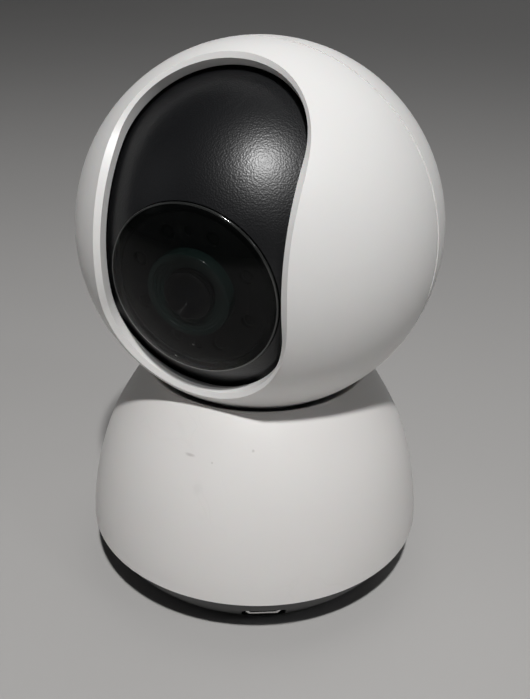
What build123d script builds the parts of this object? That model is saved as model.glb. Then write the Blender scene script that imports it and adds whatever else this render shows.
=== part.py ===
"""Baby monitor camera: a round head that pans on a bell-shaped base, with a tilting camera ball.

Millimetres, Z up. The origin is the middle of the underside, on the pan axis. The head looks along -Y.
Directions around the pan axis are azimuths, measured from -Y towards +X.
"""

import math
import os

from build123d import *

# ---- overall ----
HEAD_RADIUS = 38.5
HEAD_WALL = 2.8
HEAD_INNER = HEAD_RADIUS - HEAD_WALL
HEAD_FOOT_Z = 39.8
HEAD_FOOT_DROP = 1.2
HEAD_CENTRE_Z = HEAD_FOOT_Z + HEAD_FOOT_DROP + HEAD_RADIUS

# ---- opening in the head: a circle swept up the front of the sphere ----
OPENING_HALF_WIDTH = 18.45
OPENING_LOW_ANGLE = -15.0
OPENING_HIGH_ANGLE = 42.0
OPENING_BEVEL = 1.3

# ---- head shells ----
SEAM_Y = -1.5
SEAM_GROOVE = 0.35
TONGUE_THICKNESS = 1.25
TONGUE_LENGTH = 2.5
TONGUE_CLEARANCE = 0.1
BOSS_RADIUS = 2.4
SCREW_RADIUS = 1.0
SCREW_HEAD_RADIUS = 1.9
SCREW_HEAD_HEIGHT = 1.1
HEAD_FOOT_RADIUS = 12.5
EDGE_TOLERANCE = 0.01
CABLE_BORE = 6.5

# ---- camera ball ----
BALL_GAP = 0.8
BALL_RADIUS = HEAD_INNER - BALL_GAP
BALL_WALL = 2.0
BALL_HALF_WIDTH = 20.5
BALL_EDGE_ROUND = 1.0
BALL_SPLIT_Y = 6.0
BALL_BACK_Y = 12.0
REST_TILT = 6.5

# ---- window and lens, along the lens axis of the ball ----
WINDOW_RADIUS = 17.3
WINDOW_RISE = 0.35
WINDOW_THICKNESS = 1.2
WINDOW_LEDGE = 1.8
WINDOW_CLEARANCE = 0.12
SHROUD_FRONT_Y = 4.7 - BALL_RADIUS
SHROUD_THICKNESS = 0.8
LENS_RING_RADIUS = 8.5
LENS_RING_FRONT_Y = 2.1 - BALL_RADIUS
LENS_RING_DEPTH = 2.2
BARREL_RADIUS = 4.8
BARREL_STEP = 0.6
BARREL_LIP = 0.5
BARREL_FRONT_Y = 1.9 - BALL_RADIUS
LENS_GLASS_RADIUS = 3.6
LENS_GLASS_DEPTH = 2.2
HOLDER_SIZE = 14.0
HOLDER_DEPTH = 7.0
LED_CIRCLE = 11.8
LED_COUNT = 8
LED_RADIUS = 1.3
LED_HEIGHT = 1.4
SMALL_LED_RADIUS = 0.9
LED_BOARD_Y = 6.5 - BALL_RADIUS
LED_SKIRT_RADIUS = 1.82
LED_BOARD_THICKNESS = 1.0
LED_BOARD_BORE = 6.2

# ---- main board in the ball ----
BOARD_FRONT_Y = -18.0
BARREL_ENTRY = 2.0
BOARD_THICKNESS = 1.2
BOARD_WIDTH = 33.0
BOARD_HEIGHT = 39.0
BOARD_SCREW_X = 13.6
BOARD_SCREW_Z = 16.8
BOARD_POST_RADIUS = 1.92
SHIELD_SIZE = 18.15
CARD_WIDTH = 11.8
CARD_SLOT_HEIGHT = 1.4
SOCKET_WIDTH = 14.0
SOCKET_LENGTH = 12.5
SOCKET_THICKNESS = 1.9
BUTTON_X = 9.3
BUTTON_RADIUS = 1.2
BUTTON_CLEARANCE = 0.35
BUTTON_TRAVEL = 0.5
MICROPHONE_HOLE = 0.6
MICROPHONE_INSET = 0.3
BALL_SCREW_Z = 24.0

# ---- tilt bearing and drive ----
AXLE_RADIUS = 4.0
RUNNING_CLEARANCE = 0.05
AXLE_END_X = 26.3
HUB_RADIUS = 6.0
HUB_END_X = 23.2
BRACKET_X = 24.5
BRACKET_THICKNESS = 2.0
BRACKET_SCREW_Y = 7.5
BRACKET_SCREW_Z = 18.0
BRACKET_REAR_Y = 19.8
BUSH_RADIUS = 5.5
BUSH_FLANGE_RADIUS = 6.6
BUSH_FLANGE = 1.1
TILT_MOTOR_Y = 9.0
TILT_MOTOR_RADIUS = 7.0
TILT_MOTOR_DEPTH = 4.6
TILT_EAR_Z = 9.4
EAR_RADIUS = 2.0
EAR_THICKNESS = 0.8

# ---- gears ----
GEAR_MODULE = 0.5
PRESSURE_ANGLE = 25.0
ADDENDUM = 0.8
DEDENDUM = 1.1
BACKLASH = 0.08
PINION_TEETH = 12
PAN_TEETH = 80
TILT_TEETH = 48
GEAR_THICKNESS = 3.0
TILT_GEAR_THICKNESS = 2.4
MOTOR_SHAFT_RADIUS = 1.0
SHAFT_HOLE_RADIUS = 1.5

# ---- base ----
BASE_PROFILE = ((38.97, 10.5), (38.7, 14.0), (37.84, 20.0), (36.23, 27.0), (33.72, 34.0), (30.03, 41.0),
                (26.06, 47.0), (24.2, 49.4))
BASE_INNER_PROFILE = ((36.77, 10.5), (36.5, 14.0), (35.65, 20.0), (34.05, 27.0), (31.6, 34.0), (28.2, 41.0),
                      (25.2, 45.6))
BASE_RIM_ROUND = 0.5
DISH_GAP = 1.0
DISH_THICKNESS = 2.2
DISH_HOLE = 14.5
COVER_BOTTOM_Z = 0.6
COVER_BOTTOM_RADIUS = 31.2
COVER_TOP_Z = 10.5
COVER_TOP_RADIUS = 38.3
COVER_BULGE_RADIUS = 35.4
COVER_BULGE_Z = 5.4
COVER_WALL = 2.0
SPIGOT_WALL = 1.4
SPIGOT_RADIUS = 36.3
SPIGOT_HEIGHT = 2.5
FOOT_RING_OUTER = 24.2
FOOT_RING_INNER = 18.5
FOOT_RING_HEIGHT = 1.2

# ---- posts in the base, as azimuths from the socket ----
SOCKET_AZIMUTH = 27.7
COVER_POST_RADIUS = 27.3
COVER_POST_ANGLES = (50.0, 130.0, 230.0, 310.0)
COVER_POST_SPLIT_Z = 12.0
FRAME_POST_RADIUS = 27.2
FRAME_POST_ANGLES = (0.0, 90.0, 270.0)
POST_RADIUS = 2.8
SCREW_SEAT_Z = 3.0
SCREW_LENGTH = 15.0

# ---- charging socket ----
USB_Z = 4.2
USB_WIDTH = 7.6
USB_HEIGHT = 2.7
USB_DEPTH = 5.2
USB_WALL = 0.35
TONGUE_WIDTH_SHARE = 0.6
TONGUE_DEPTH_SHARE = 0.75
TONGUE_HEIGHT = 0.63
USB_FACE_RADIUS = 33.0
USB_CUT_WIDTH = 9.6
USB_CUT_HEIGHT = 4.2
USB_BOARD_WIDTH = 13.0
USB_BOARD_LENGTH = 11.0
USB_BOARD_OUTER = 31.4

# ---- pan bearing and drive ----
NECK_FLANGE = 4.0
NECK_RADIUS = 9.0
NECK_BOTTOM_Z = 15.4
NECK_SCREW_CIRCLE = 9.5
PAN_BUSH_RADIUS = 10.5
COLLAR_RADIUS = 12.5
COLLAR_BOTTOM_Z = 18.0
WASHER_THICKNESS = 1.0
FRAME_TOP_Z = HEAD_FOOT_Z - 8.8
FRAME_THICKNESS = 2.5
FRAME_RADIUS = 31.2
CLIP_THICKNESS = 1.0
CLIP_GAP = 0.3
CLIP_GROOVE_DEPTH = 0.8
CLIP_OUTER = 11.6
PAN_MOTOR_RADIUS = 10.0
PAN_MOTOR_DEPTH = 11.0
PAN_EAR_SPREAD = 12.4
STOP_INNER = 14.0
STOP_OUTER = 17.2
STOP_WIDTH = 1.2
STOP_HEIGHT = 1.4
FIXED_STOP_HEIGHT = 1.3

# ---- loudspeaker ----
SPEAKER_ANGLE = -14.0
SPEAKER_RADIUS = 9.0
SPEAKER_FRONT = HEAD_INNER - 2.8
SPEAKER_DEPTH = 3.6
SPEAKER_WALL = 1.2
SPEAKER_CUP_DEPTH = HEAD_INNER - 4.3
CONE_RADIUS = 8.0
MAGNET_RADIUS = 5.5
MAGNET_DEPTH = 1.6
GRILLE_HOLE = 0.6
GRILLE_PITCH = 2.3
GRILLE_RINGS = 2

# ---- derived ----
PAN_CENTRE_DISTANCE = GEAR_MODULE * (PAN_TEETH + PINION_TEETH) / 2
TILT_CENTRE_DISTANCE = GEAR_MODULE * (TILT_TEETH + PINION_TEETH) / 2
HOME_AZIMUTH = SOCKET_AZIMUTH + 180.0
FLANGE_BOTTOM_Z = HEAD_FOOT_Z - NECK_FLANGE
GEAR_BOTTOM_Z = FLANGE_BOTTOM_Z - GEAR_THICKNESS
COLLAR_TOP_Z = GEAR_BOTTOM_Z - WASHER_THICKNESS
FRAME_BOTTOM_Z = FRAME_TOP_Z - FRAME_THICKNESS
BRACKET_OUTER_X = BRACKET_X + BRACKET_THICKNESS
BALL_INNER = BALL_RADIUS - BALL_WALL
BALL_INNER_HALF_WIDTH = BALL_HALF_WIDTH - BALL_WALL
BOARD_BACK_Y = BOARD_FRONT_Y + BOARD_THICKNESS
BARREL_BACK_Y = BOARD_FRONT_Y - HOLDER_DEPTH + BARREL_ENTRY
LED_BOARD_RADIUS = WINDOW_RADIUS - WINDOW_LEDGE - 5 * TONGUE_CLEARANCE
CARD_Y = BOARD_FRONT_Y - SOCKET_THICKNESS / 2
BUTTON_Y = BOARD_FRONT_Y - BUTTON_RADIUS - BUTTON_CLEARANCE
FAR = 60.0


# ---- placing ----
def around(azimuth, radius, z):
    """Place something at an azimuth, its own -Y pointing outwards."""
    return Rot(0, 0, azimuth) * Pos(0, -radius, z)


def head_place():
    """Place something given about the head's centre."""
    return Pos(0, 0, HEAD_CENTRE_Z)


def ball_place():
    """Place something given in the ball's own frame: lens axis along -Y, tipped down at rest."""
    return Pos(0, 0, HEAD_CENTRE_Z) * Rot(REST_TILT, 0, 0)


def look(elevation):
    """Place something whose +Z is to point out of the head's front at an elevation."""
    return Rot(90 - elevation, 0, 0)


def to_side(side):
    """Turn something made for the +X side to the side given as 1 or -1."""
    return Rot(0, 0, 90 - 90 * side)


def disc(radius, bottom, top):
    """Upright cylinder between two heights."""
    return Pos(0, 0, (bottom + top) / 2) * Cylinder(radius, top - bottom)


def pipe(outer, inner, bottom, top):
    """Upright tube between two heights."""
    return disc(outer, bottom, top) - disc(inner, bottom, top)


def along_y(radius, front, back):
    """Cylinder lying along Y between two distances."""
    return Pos(0, (front + back) / 2, 0) * Rot(90, 0, 0) * Cylinder(radius, back - front)


def along_x(radius, low, high):
    """Cylinder lying along X between two distances."""
    return Pos((low + high) / 2, 0, 0) * Rot(0, 90, 0) * Cylinder(radius, high - low)


def block(x_size, y_low, y_high, z_low, z_high):
    """Box centred in X between given Y and Z limits."""
    return Pos(0, (y_low + y_high) / 2, (z_low + z_high) / 2) * Box(x_size, y_high - y_low, z_high - z_low)


def screw(length):
    """Pan-head screw: head underside at z = 0, shank going down."""
    head = disc(SCREW_HEAD_RADIUS, 0, SCREW_HEAD_HEIGHT)
    head = fillet(head.edges().group_by(Axis.Z)[-1], SCREW_HEAD_HEIGHT / 2)
    slot_depth = SCREW_HEAD_HEIGHT / 2
    slot = Pos(0, 0, SCREW_HEAD_HEIGHT) * Box(SCREW_HEAD_RADIUS, SCREW_RADIUS / 2, slot_depth)
    cross = slot + Rot(0, 0, 90) * slot
    return head + disc(SCREW_RADIUS, -length, 0) - cross


def group(shapes):
    """Put separate solids in one node."""
    return Compound(children=[Solid(shape.solid().wrapped) for shape in shapes])


# ---- gears ----
def gear_outline(teeth):
    """Closed outline of an involute spur gear, with the middle of a tooth on +X."""
    pitch = GEAR_MODULE * teeth / 2
    base = pitch * math.cos(math.radians(PRESSURE_ANGLE))
    tip = pitch + ADDENDUM * GEAR_MODULE
    root = pitch - DEDENDUM * GEAR_MODULE
    half_tooth = math.pi / (2 * teeth) - BACKLASH / (2 * pitch)
    pitch_roll = math.tan(math.radians(PRESSURE_ANGLE))
    pitch_turn = pitch_roll - math.atan(pitch_roll)
    start = max(base, root)
    steps = 4
    flank = []
    for step in range(steps + 1):
        radius = start + (tip - start) * step / steps
        roll = math.sqrt(max((radius / base) ** 2 - 1, 0.0))
        turn = half_tooth + pitch_turn - (roll - math.atan(roll))
        flank.append((radius, turn))
    if root < start:
        flank.insert(0, (root, flank[0][1]))
    points = []
    for tooth in range(teeth):
        middle = 2 * math.pi * tooth / teeth
        for radius, turn in flank:
            points.append((radius * math.cos(middle - turn), radius * math.sin(middle - turn)))
        for radius, turn in reversed(flank):
            points.append((radius * math.cos(middle + turn), radius * math.sin(middle + turn)))
    return points


def gear(teeth, thickness):
    """Spur gear standing on z = 0 with the middle of a tooth on +X."""
    outline = Polyline(*gear_outline(teeth), close=True)
    return extrude(make_face(outline), thickness)


def motor_pinion(shaft_length, gear_start):
    """Pinion on its shaft: the shaft starts at z = 0, a gap between teeth faces +X."""
    half_step = 180.0 / PINION_TEETH
    teeth = Pos(0, 0, gear_start) * Rot(0, 0, half_step) * gear(PINION_TEETH, shaft_length - gear_start)
    return teeth + disc(MOTOR_SHAFT_RADIUS, 0, shaft_length)


# ---- base ----
def bell(profile, hollow_radius, corner_round):
    """Solid of revolution under a smooth profile of radius and height, hollowed by the head's sphere."""
    points = [(radius, 0, z) for radius, z in profile]
    first = points[0]
    top = points[-1]
    side = Polyline(top, (0, 0, top[2]), (0, 0, first[2]), first)
    section = make_face([Spline(*points), side])
    section -= Plane.XZ * Pos(0, HEAD_CENTRE_Z) * Circle(hollow_radius)
    if corner_round > 0:
        section = fillet(section.vertices().sort_by(Axis.Z)[-1], corner_round)
    right_half = Pos(FAR / 2, 0, 0) * Box(FAR, 1, 4 * FAR)
    return revolve(section & right_half, Axis.Z)


def base_posts(radius, angles, bottom):
    """Screw posts hanging down inside the base shell."""
    posts = []
    for angle in angles:
        posts.append(around(SOCKET_AZIMUTH + angle, radius, 0) * disc(POST_RADIUS, bottom, HEAD_CENTRE_Z))
    return posts


def base_shell():
    """White bell with a dished top that follows the head, and posts inside."""
    outside = bell(BASE_PROFILE, HEAD_RADIUS + DISH_GAP, BASE_RIM_ROUND)
    cavity = bell(BASE_INNER_PROFILE, HEAD_RADIUS + DISH_GAP + DISH_THICKNESS, 0)
    for post in base_posts(COVER_POST_RADIUS, COVER_POST_ANGLES, COVER_POST_SPLIT_Z):
        cavity -= post
    for post in base_posts(FRAME_POST_RADIUS, FRAME_POST_ANGLES, FRAME_TOP_Z):
        cavity -= post
    shell = outside - cavity - disc(DISH_HOLE, 0, HEAD_CENTRE_Z)
    for angle in COVER_POST_ANGLES:
        hole = disc(SCREW_RADIUS, COVER_POST_SPLIT_Z, SCREW_SEAT_Z + SCREW_LENGTH)
        shell -= around(SOCKET_AZIMUTH + angle, COVER_POST_RADIUS, 0) * hole
    for angle in FRAME_POST_ANGLES:
        hole = disc(SCREW_RADIUS, FRAME_TOP_Z, FRAME_TOP_Z + FRAME_THICKNESS)
        shell -= around(SOCKET_AZIMUTH + angle, FRAME_POST_RADIUS, 0) * hole
    return shell


def cover_body(inset, bottom):
    """Tapered foot solid, drawn in by a wall thickness."""
    low = (COVER_BOTTOM_RADIUS - inset, 0, bottom)
    middle = (COVER_BULGE_RADIUS - inset, 0, COVER_BULGE_Z)
    high = (COVER_TOP_RADIUS - inset, 0, COVER_TOP_Z)
    side = ThreePointArc(low, middle, high)
    rest = Polyline(high, (0, 0, COVER_TOP_Z), (0, 0, bottom), low)
    return revolve(make_face([side, rest]), Axis.Z)


def usb_cut():
    """Opening in the foot for the plug."""
    cut = Box(USB_CUT_WIDTH, 3 * USB_DEPTH, USB_CUT_HEIGHT)
    cut = fillet(cut.edges().filter_by(Axis.Y), USB_CUT_HEIGHT / 4)
    return around(SOCKET_AZIMUTH, USB_FACE_RADIUS + USB_DEPTH / 2, USB_Z) * cut


def usb_board_post(side):
    """Place a post under the socket board."""
    x = side * USB_BOARD_WIDTH / 3
    return around(SOCKET_AZIMUTH, USB_BOARD_OUTER - USB_BOARD_LENGTH + POST_RADIUS / 2 + 1, 0) * Pos(x, 0, 0)


def base_cover():
    """Dark tapered foot with screw towers, board posts and the socket opening."""
    floor_top = COVER_BOTTOM_Z + COVER_WALL
    body = cover_body(0, COVER_BOTTOM_Z)
    body = chamfer(body.edges().filter_by(GeomType.CIRCLE).sort_by(Axis.Z)[0], COVER_WALL / 5)
    body -= cover_body(COVER_WALL, floor_top)
    spigot_inner = SPIGOT_RADIUS - SPIGOT_WALL
    body += pipe(SPIGOT_RADIUS, spigot_inner, COVER_TOP_Z - SPIGOT_WALL, COVER_TOP_Z + SPIGOT_HEIGHT)
    body -= disc(FOOT_RING_OUTER, 0, FOOT_RING_HEIGHT) - disc(FOOT_RING_INNER, 0, FOOT_RING_HEIGHT)
    for angle in COVER_POST_ANGLES:
        place = around(SOCKET_AZIMUTH + angle, COVER_POST_RADIUS, 0)
        body += place * disc(POST_RADIUS, floor_top, COVER_POST_SPLIT_Z)
        body -= place * disc(SCREW_HEAD_RADIUS + RUNNING_CLEARANCE, 0, SCREW_SEAT_Z)
        body -= place * disc(SCREW_RADIUS, SCREW_SEAT_Z, COVER_POST_SPLIT_Z)
    for side in (-1, 1):
        body += usb_board_post(side) * disc(POST_RADIUS / 2, floor_top, board_bottom_z())
        body -= usb_board_post(side) * disc(SCREW_RADIUS / 2, floor_top, board_bottom_z())
    return body - usb_cut()


def foot_ring():
    """Rubber ring that meets the table."""
    ring = pipe(FOOT_RING_OUTER, FOOT_RING_INNER, 0, FOOT_RING_HEIGHT)
    return chamfer(ring.edges().group_by(Axis.Z)[0], FOOT_RING_HEIGHT / 4)


def base_screws():
    """Four screws put in from below."""
    screws = []
    for angle in COVER_POST_ANGLES:
        place = around(SOCKET_AZIMUTH + angle, COVER_POST_RADIUS, SCREW_SEAT_Z)
        screws.append(place * Rot(180, 0, 0) * screw(SCREW_LENGTH))
    return group(screws)


def board_bottom_z():
    """Height of the socket board's underside."""
    return USB_Z + USB_HEIGHT / 2


def usb_board():
    """Small board above the socket."""
    board = block(USB_BOARD_WIDTH, -USB_BOARD_OUTER, USB_BOARD_LENGTH - USB_BOARD_OUTER,
                  board_bottom_z(), board_bottom_z() + BOARD_THICKNESS)
    board = Rot(0, 0, SOCKET_AZIMUTH) * board
    for side in (-1, 1):
        board -= usb_board_post(side) * disc(SCREW_RADIUS / 2, 0, COVER_TOP_Z)
    return board


def usb_board_screws():
    """Two small screws through the socket board."""
    screws = []
    top = board_bottom_z() + BOARD_THICKNESS
    for side in (-1, 1):
        head = disc(POST_RADIUS / 2, top, top + SCREW_HEAD_HEIGHT / 2)
        shank = disc(SCREW_RADIUS / 2, COVER_BOTTOM_Z + COVER_WALL, top)
        screws.append(usb_board_post(side) * (head + shank))
    return group(screws)


def usb_inside():
    """Space inside the receptacle."""
    return Box(USB_WIDTH - 2 * USB_WALL, USB_DEPTH, USB_HEIGHT - 2 * USB_WALL)


def usb_place():
    """Place the receptacle, its mouth facing outwards."""
    return around(SOCKET_AZIMUTH, USB_FACE_RADIUS - USB_DEPTH / 2, USB_Z)


def usb_socket():
    """Folded metal receptacle, open at the mouth and the back."""
    outside = Box(USB_WIDTH, USB_DEPTH, USB_HEIGHT)
    low_corners = outside.edges().filter_by(Axis.Y).group_by(Axis.Z)[0]
    outside = chamfer(low_corners, USB_HEIGHT / 4)
    inside = chamfer(usb_inside().edges().filter_by(Axis.Y).group_by(Axis.Z)[0], USB_HEIGHT / 4)
    return usb_place() * (outside - inside)


def usb_tongue():
    """Plastic insert with the contact tongue."""
    inside = chamfer(usb_inside().edges().filter_by(Axis.Y).group_by(Axis.Z)[0], USB_HEIGHT / 4)
    back = inside & Pos(0, USB_DEPTH / 3, 0) * Box(USB_WIDTH, USB_DEPTH / 3, USB_HEIGHT)
    tongue = Box(USB_WIDTH * TONGUE_WIDTH_SHARE, USB_DEPTH * TONGUE_DEPTH_SHARE, TONGUE_HEIGHT)
    tongue = Pos(0, 0, USB_WALL) * tongue
    return usb_place() * (back + tongue)


# ---- pan drive ----
def pan_motor_place(z):
    """Place something on the pan motor's shaft, +X pointing at the pan axis."""
    return around(HOME_AZIMUTH, PAN_CENTRE_DISTANCE, z) * Rot(0, 0, 90)


def pan_ear_places(z):
    """Places of the pan motor's two fixing ears."""
    return [pan_motor_place(z) * Pos(0, side * PAN_EAR_SPREAD, 0) for side in (-1, 1)]


def stop_lug(azimuth, bottom, top):
    """Radial stop lug."""
    lug = block(STOP_WIDTH, -STOP_OUTER, -STOP_INNER, bottom, top)
    return Rot(0, 0, azimuth) * lug


def pan_frame():
    """Chassis plate with the neck's bearing collar and the fixed stop."""
    frame = disc(FRAME_RADIUS, FRAME_BOTTOM_Z, FRAME_TOP_Z)
    frame += disc(COLLAR_RADIUS, COLLAR_BOTTOM_Z, COLLAR_TOP_Z)
    frame -= disc(PAN_BUSH_RADIUS, COLLAR_BOTTOM_Z, COLLAR_TOP_Z)
    frame += stop_lug(SOCKET_AZIMUTH, FRAME_TOP_Z, FRAME_TOP_Z + FIXED_STOP_HEIGHT)
    frame -= pan_motor_place(0) * disc(MOTOR_SHAFT_RADIUS * 2, FRAME_BOTTOM_Z, FRAME_TOP_Z)
    for angle in COVER_POST_ANGLES:
        place = around(SOCKET_AZIMUTH + angle, COVER_POST_RADIUS, 0)
        frame -= place * disc(POST_RADIUS + 2 * TONGUE_CLEARANCE, FRAME_BOTTOM_Z, FRAME_TOP_Z)
        notch = Box(2 * POST_RADIUS, 2 * POST_RADIUS, 3 * FRAME_THICKNESS)
        frame -= place * Pos(0, -POST_RADIUS, FRAME_TOP_Z) * notch
    for angle in FRAME_POST_ANGLES:
        place = around(SOCKET_AZIMUTH + angle, FRAME_POST_RADIUS, 0)
        frame -= place * disc(SCREW_RADIUS, FRAME_BOTTOM_Z, FRAME_TOP_Z)
    for place in pan_ear_places(0):
        frame -= place * disc(SCREW_RADIUS, FRAME_BOTTOM_Z, FRAME_TOP_Z)
    return frame


def pan_frame_screws():
    """Three screws that hold the chassis plate to the shell."""
    screws = []
    for angle in FRAME_POST_ANGLES:
        place = around(SOCKET_AZIMUTH + angle, FRAME_POST_RADIUS, FRAME_BOTTOM_Z)
        screws.append(place * Rot(180, 0, 0) * screw(2 * FRAME_THICKNESS))
    return group(screws)


def pan_bush():
    """Plain bearing around the neck."""
    return pipe(PAN_BUSH_RADIUS, NECK_RADIUS + RUNNING_CLEARANCE, COLLAR_BOTTOM_Z, COLLAR_TOP_Z)


def thrust_washer():
    """Slippery washer that carries the head."""
    return pipe(COLLAR_RADIUS, NECK_RADIUS + RUNNING_CLEARANCE * 2, COLLAR_TOP_Z, GEAR_BOTTOM_Z)


def pan_motor():
    """Round geared motor with two ears, hanging under the chassis plate."""
    can = disc(PAN_MOTOR_RADIUS, FRAME_BOTTOM_Z - PAN_MOTOR_DEPTH, FRAME_BOTTOM_Z)
    can = fillet(can.edges().group_by(Axis.Z)[0], EAR_THICKNESS)
    strap = Box(2 * EAR_RADIUS, 2 * PAN_EAR_SPREAD, EAR_THICKNESS)
    strap = Pos(0, 0, FRAME_BOTTOM_Z - EAR_THICKNESS / 2) * strap
    motor = pan_motor_place(0) * (can + strap)
    for place in pan_ear_places(0):
        motor += place * disc(EAR_RADIUS, FRAME_BOTTOM_Z - EAR_THICKNESS, FRAME_BOTTOM_Z)
        motor -= place * disc(SCREW_RADIUS, FRAME_BOTTOM_Z - EAR_THICKNESS, FRAME_BOTTOM_Z)
    well = disc(MOTOR_SHAFT_RADIUS + RUNNING_CLEARANCE, FRAME_BOTTOM_Z - FRAME_THICKNESS, FRAME_BOTTOM_Z)
    return motor - pan_motor_place(0) * well


def pan_motor_screws():
    """Two screws through the pan motor's ears."""
    screws = []
    for place in pan_ear_places(FRAME_BOTTOM_Z - EAR_THICKNESS):
        screws.append(place * Rot(180, 0, 0) * screw(FRAME_THICKNESS + EAR_THICKNESS))
    return group(screws)


def pan_pinion():
    """Pan motor's shaft and small gear."""
    bottom = FRAME_BOTTOM_Z - FRAME_THICKNESS + RUNNING_CLEARANCE
    gear_start = GEAR_BOTTOM_Z - bottom
    return pan_motor_place(bottom) * motor_pinion(FLANGE_BOTTOM_Z - bottom, gear_start)


def pan_gear():
    """Large gear on the neck, with the moving stop under it and a tooth facing the pinion."""
    body = Pos(0, 0, GEAR_BOTTOM_Z) * Rot(0, 0, HOME_AZIMUTH - 90) * gear(PAN_TEETH, GEAR_THICKNESS)
    body -= disc(NECK_RADIUS, GEAR_BOTTOM_Z, FLANGE_BOTTOM_Z)
    return body + stop_lug(0, GEAR_BOTTOM_Z - STOP_HEIGHT, GEAR_BOTTOM_Z)


def neck_screw_places(z):
    """Places of the four screws between head and neck."""
    return [Rot(0, 0, 45 + 90 * turn) * Pos(NECK_SCREW_CIRCLE, 0, z) for turn in range(4)]


def neck():
    """Hollow swivel tube with a flange under the head and a groove for the clip."""
    tube = disc(HEAD_FOOT_RADIUS, FLANGE_BOTTOM_Z, HEAD_FOOT_Z)
    tube += disc(NECK_RADIUS, NECK_BOTTOM_Z, FLANGE_BOTTOM_Z)
    tube -= disc(CABLE_BORE, NECK_BOTTOM_Z, HEAD_FOOT_Z)
    clip_top = COLLAR_BOTTOM_Z - CLIP_GAP
    tube -= pipe(NECK_RADIUS, NECK_RADIUS - CLIP_GROOVE_DEPTH, clip_top - CLIP_THICKNESS, clip_top)
    for place in neck_screw_places(0):
        tube -= place * disc(SCREW_RADIUS, FLANGE_BOTTOM_Z, HEAD_FOOT_Z)
    return tube


def retaining_ring():
    """Open spring clip in the neck's groove."""
    clip_top = COLLAR_BOTTOM_Z - CLIP_GAP
    ring = pipe(CLIP_OUTER, NECK_RADIUS - CLIP_GROOVE_DEPTH, clip_top - CLIP_THICKNESS, clip_top)
    mouth = Pos(0, CLIP_OUTER, clip_top) * Box(CABLE_BORE, 2 * CLIP_OUTER, 4 * CLIP_THICKNESS)
    return ring - mouth


# ---- head ----
def swept_circle(half_width):
    """Tool that cuts the opening: a circle swept from the low to the high angle about the tilt axis."""
    tool = look(OPENING_LOW_ANGLE) * disc(half_width, 0, FAR)
    tool += look(OPENING_HIGH_ANGLE) * disc(half_width, 0, FAR)
    corners = [(0, 0, 0)]
    for angle in (OPENING_LOW_ANGLE, (OPENING_LOW_ANGLE + OPENING_HIGH_ANGLE) / 2, OPENING_HIGH_ANGLE):
        turn = math.radians(angle)
        corners.append((0, -FAR * math.cos(turn), FAR * math.sin(turn)))
    wedge = extrude(make_face(Polyline(*corners, close=True)), half_width, dir=(1, 0, 0), both=True)
    return tool + wedge


def bracket_spots():
    """Y and Z of the three bracket screws about the tilt axis."""
    return ((BRACKET_SCREW_Y, BRACKET_SCREW_Z), (BRACKET_SCREW_Y, -BRACKET_SCREW_Z), (BRACKET_REAR_Y, 0.0))


def side_boss(side, y, z):
    """Screw boss from the head's side wall to a bracket."""
    reach = along_x(BOSS_RADIUS, BRACKET_OUTER_X, HEAD_RADIUS)
    hole = along_x(SCREW_RADIUS, BRACKET_OUTER_X, BRACKET_OUTER_X + SCREW_RADIUS)
    return Pos(0, y, z) * to_side(side) * (reach - hole)


def head_blank():
    """Whole hollow head with its foot and inner bosses, before it is split."""
    outside = Sphere(HEAD_RADIUS)
    foot = Pos(0, 0, -HEAD_CENTRE_Z) * disc(HEAD_FOOT_RADIUS, HEAD_FOOT_Z, HEAD_CENTRE_Z - BALL_RADIUS)
    blank = outside + foot - Sphere(HEAD_INNER)
    for side in (-1, 1):
        for y, z in bracket_spots():
            blank += side_boss(side, y, z) & Sphere(HEAD_RADIUS - HEAD_WALL / 2)
    groove = along_y(HEAD_RADIUS + 1, SEAM_Y - SEAM_GROOVE, SEAM_Y + SEAM_GROOVE)
    core = along_y(math.sqrt(HEAD_RADIUS ** 2 - SEAM_Y ** 2) - SEAM_GROOVE, SEAM_Y - 1, SEAM_Y + 1)
    collar = Pos(0, 0, -HEAD_RADIUS) * Cylinder(HEAD_FOOT_RADIUS + 1, HEAD_WALL * 2)
    blank -= groove - core - collar
    lower = Pos(0, 0, -HEAD_CENTRE_Z)
    blank -= lower * disc(CABLE_BORE, HEAD_FOOT_Z, HEAD_CENTRE_Z)
    seat = HEAD_FOOT_Z + HEAD_WALL
    well = disc(SCREW_HEAD_RADIUS + TONGUE_CLEARANCE, seat, HEAD_CENTRE_Z - HEAD_RADIUS / 2)
    for place in neck_screw_places(0):
        blank -= lower * place * (disc(SCREW_RADIUS, HEAD_FOOT_Z, seat) + well)
    return blank


def rear_region(extra):
    """Everything behind the seam and the tongue in front of it, grown by a clearance."""
    tongue = Sphere(HEAD_INNER + TONGUE_THICKNESS + extra)
    tongue &= along_y(HEAD_RADIUS, SEAM_Y - TONGUE_LENGTH - extra, SEAM_Y + TONGUE_LENGTH)
    return tongue + Pos(0, SEAM_Y + FAR / 2, 0) * Box(2 * FAR, FAR, 2 * FAR)


def head_front_shell():
    """White front shell with the long bevelled opening."""
    shell = head_blank() - rear_region(TONGUE_CLEARANCE)
    shell -= swept_circle(OPENING_HALF_WIDTH)
    lowest = HEAD_FOOT_Z - HEAD_CENTRE_Z + HEAD_RADIUS / 4
    edges = []
    for edge in shell.edges():
        middle = edge.center()
        nearest = min((edge @ (1 / 2)).length, (edge @ (1 / 4)).length)
        on_sphere = nearest > HEAD_RADIUS - EDGE_TOLERANCE
        if on_sphere and middle.Y < -HEAD_RADIUS / 4 and middle.Z > lowest:
            edges.append(edge)
    shell = chamfer(edges, OPENING_BEVEL)
    return head_place() * shell


def grille_spots():
    """Places of the loudspeaker holes on a hexagonal grid."""
    spots = []
    for row in range(-GRILLE_RINGS, GRILLE_RINGS + 1):
        count = 2 * GRILLE_RINGS + 1 - abs(row)
        for column in range(count):
            x = (column - (count - 1) / 2) * GRILLE_PITCH
            spots.append((x, row * GRILLE_PITCH * math.sin(math.radians(60))))
    return spots


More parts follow.
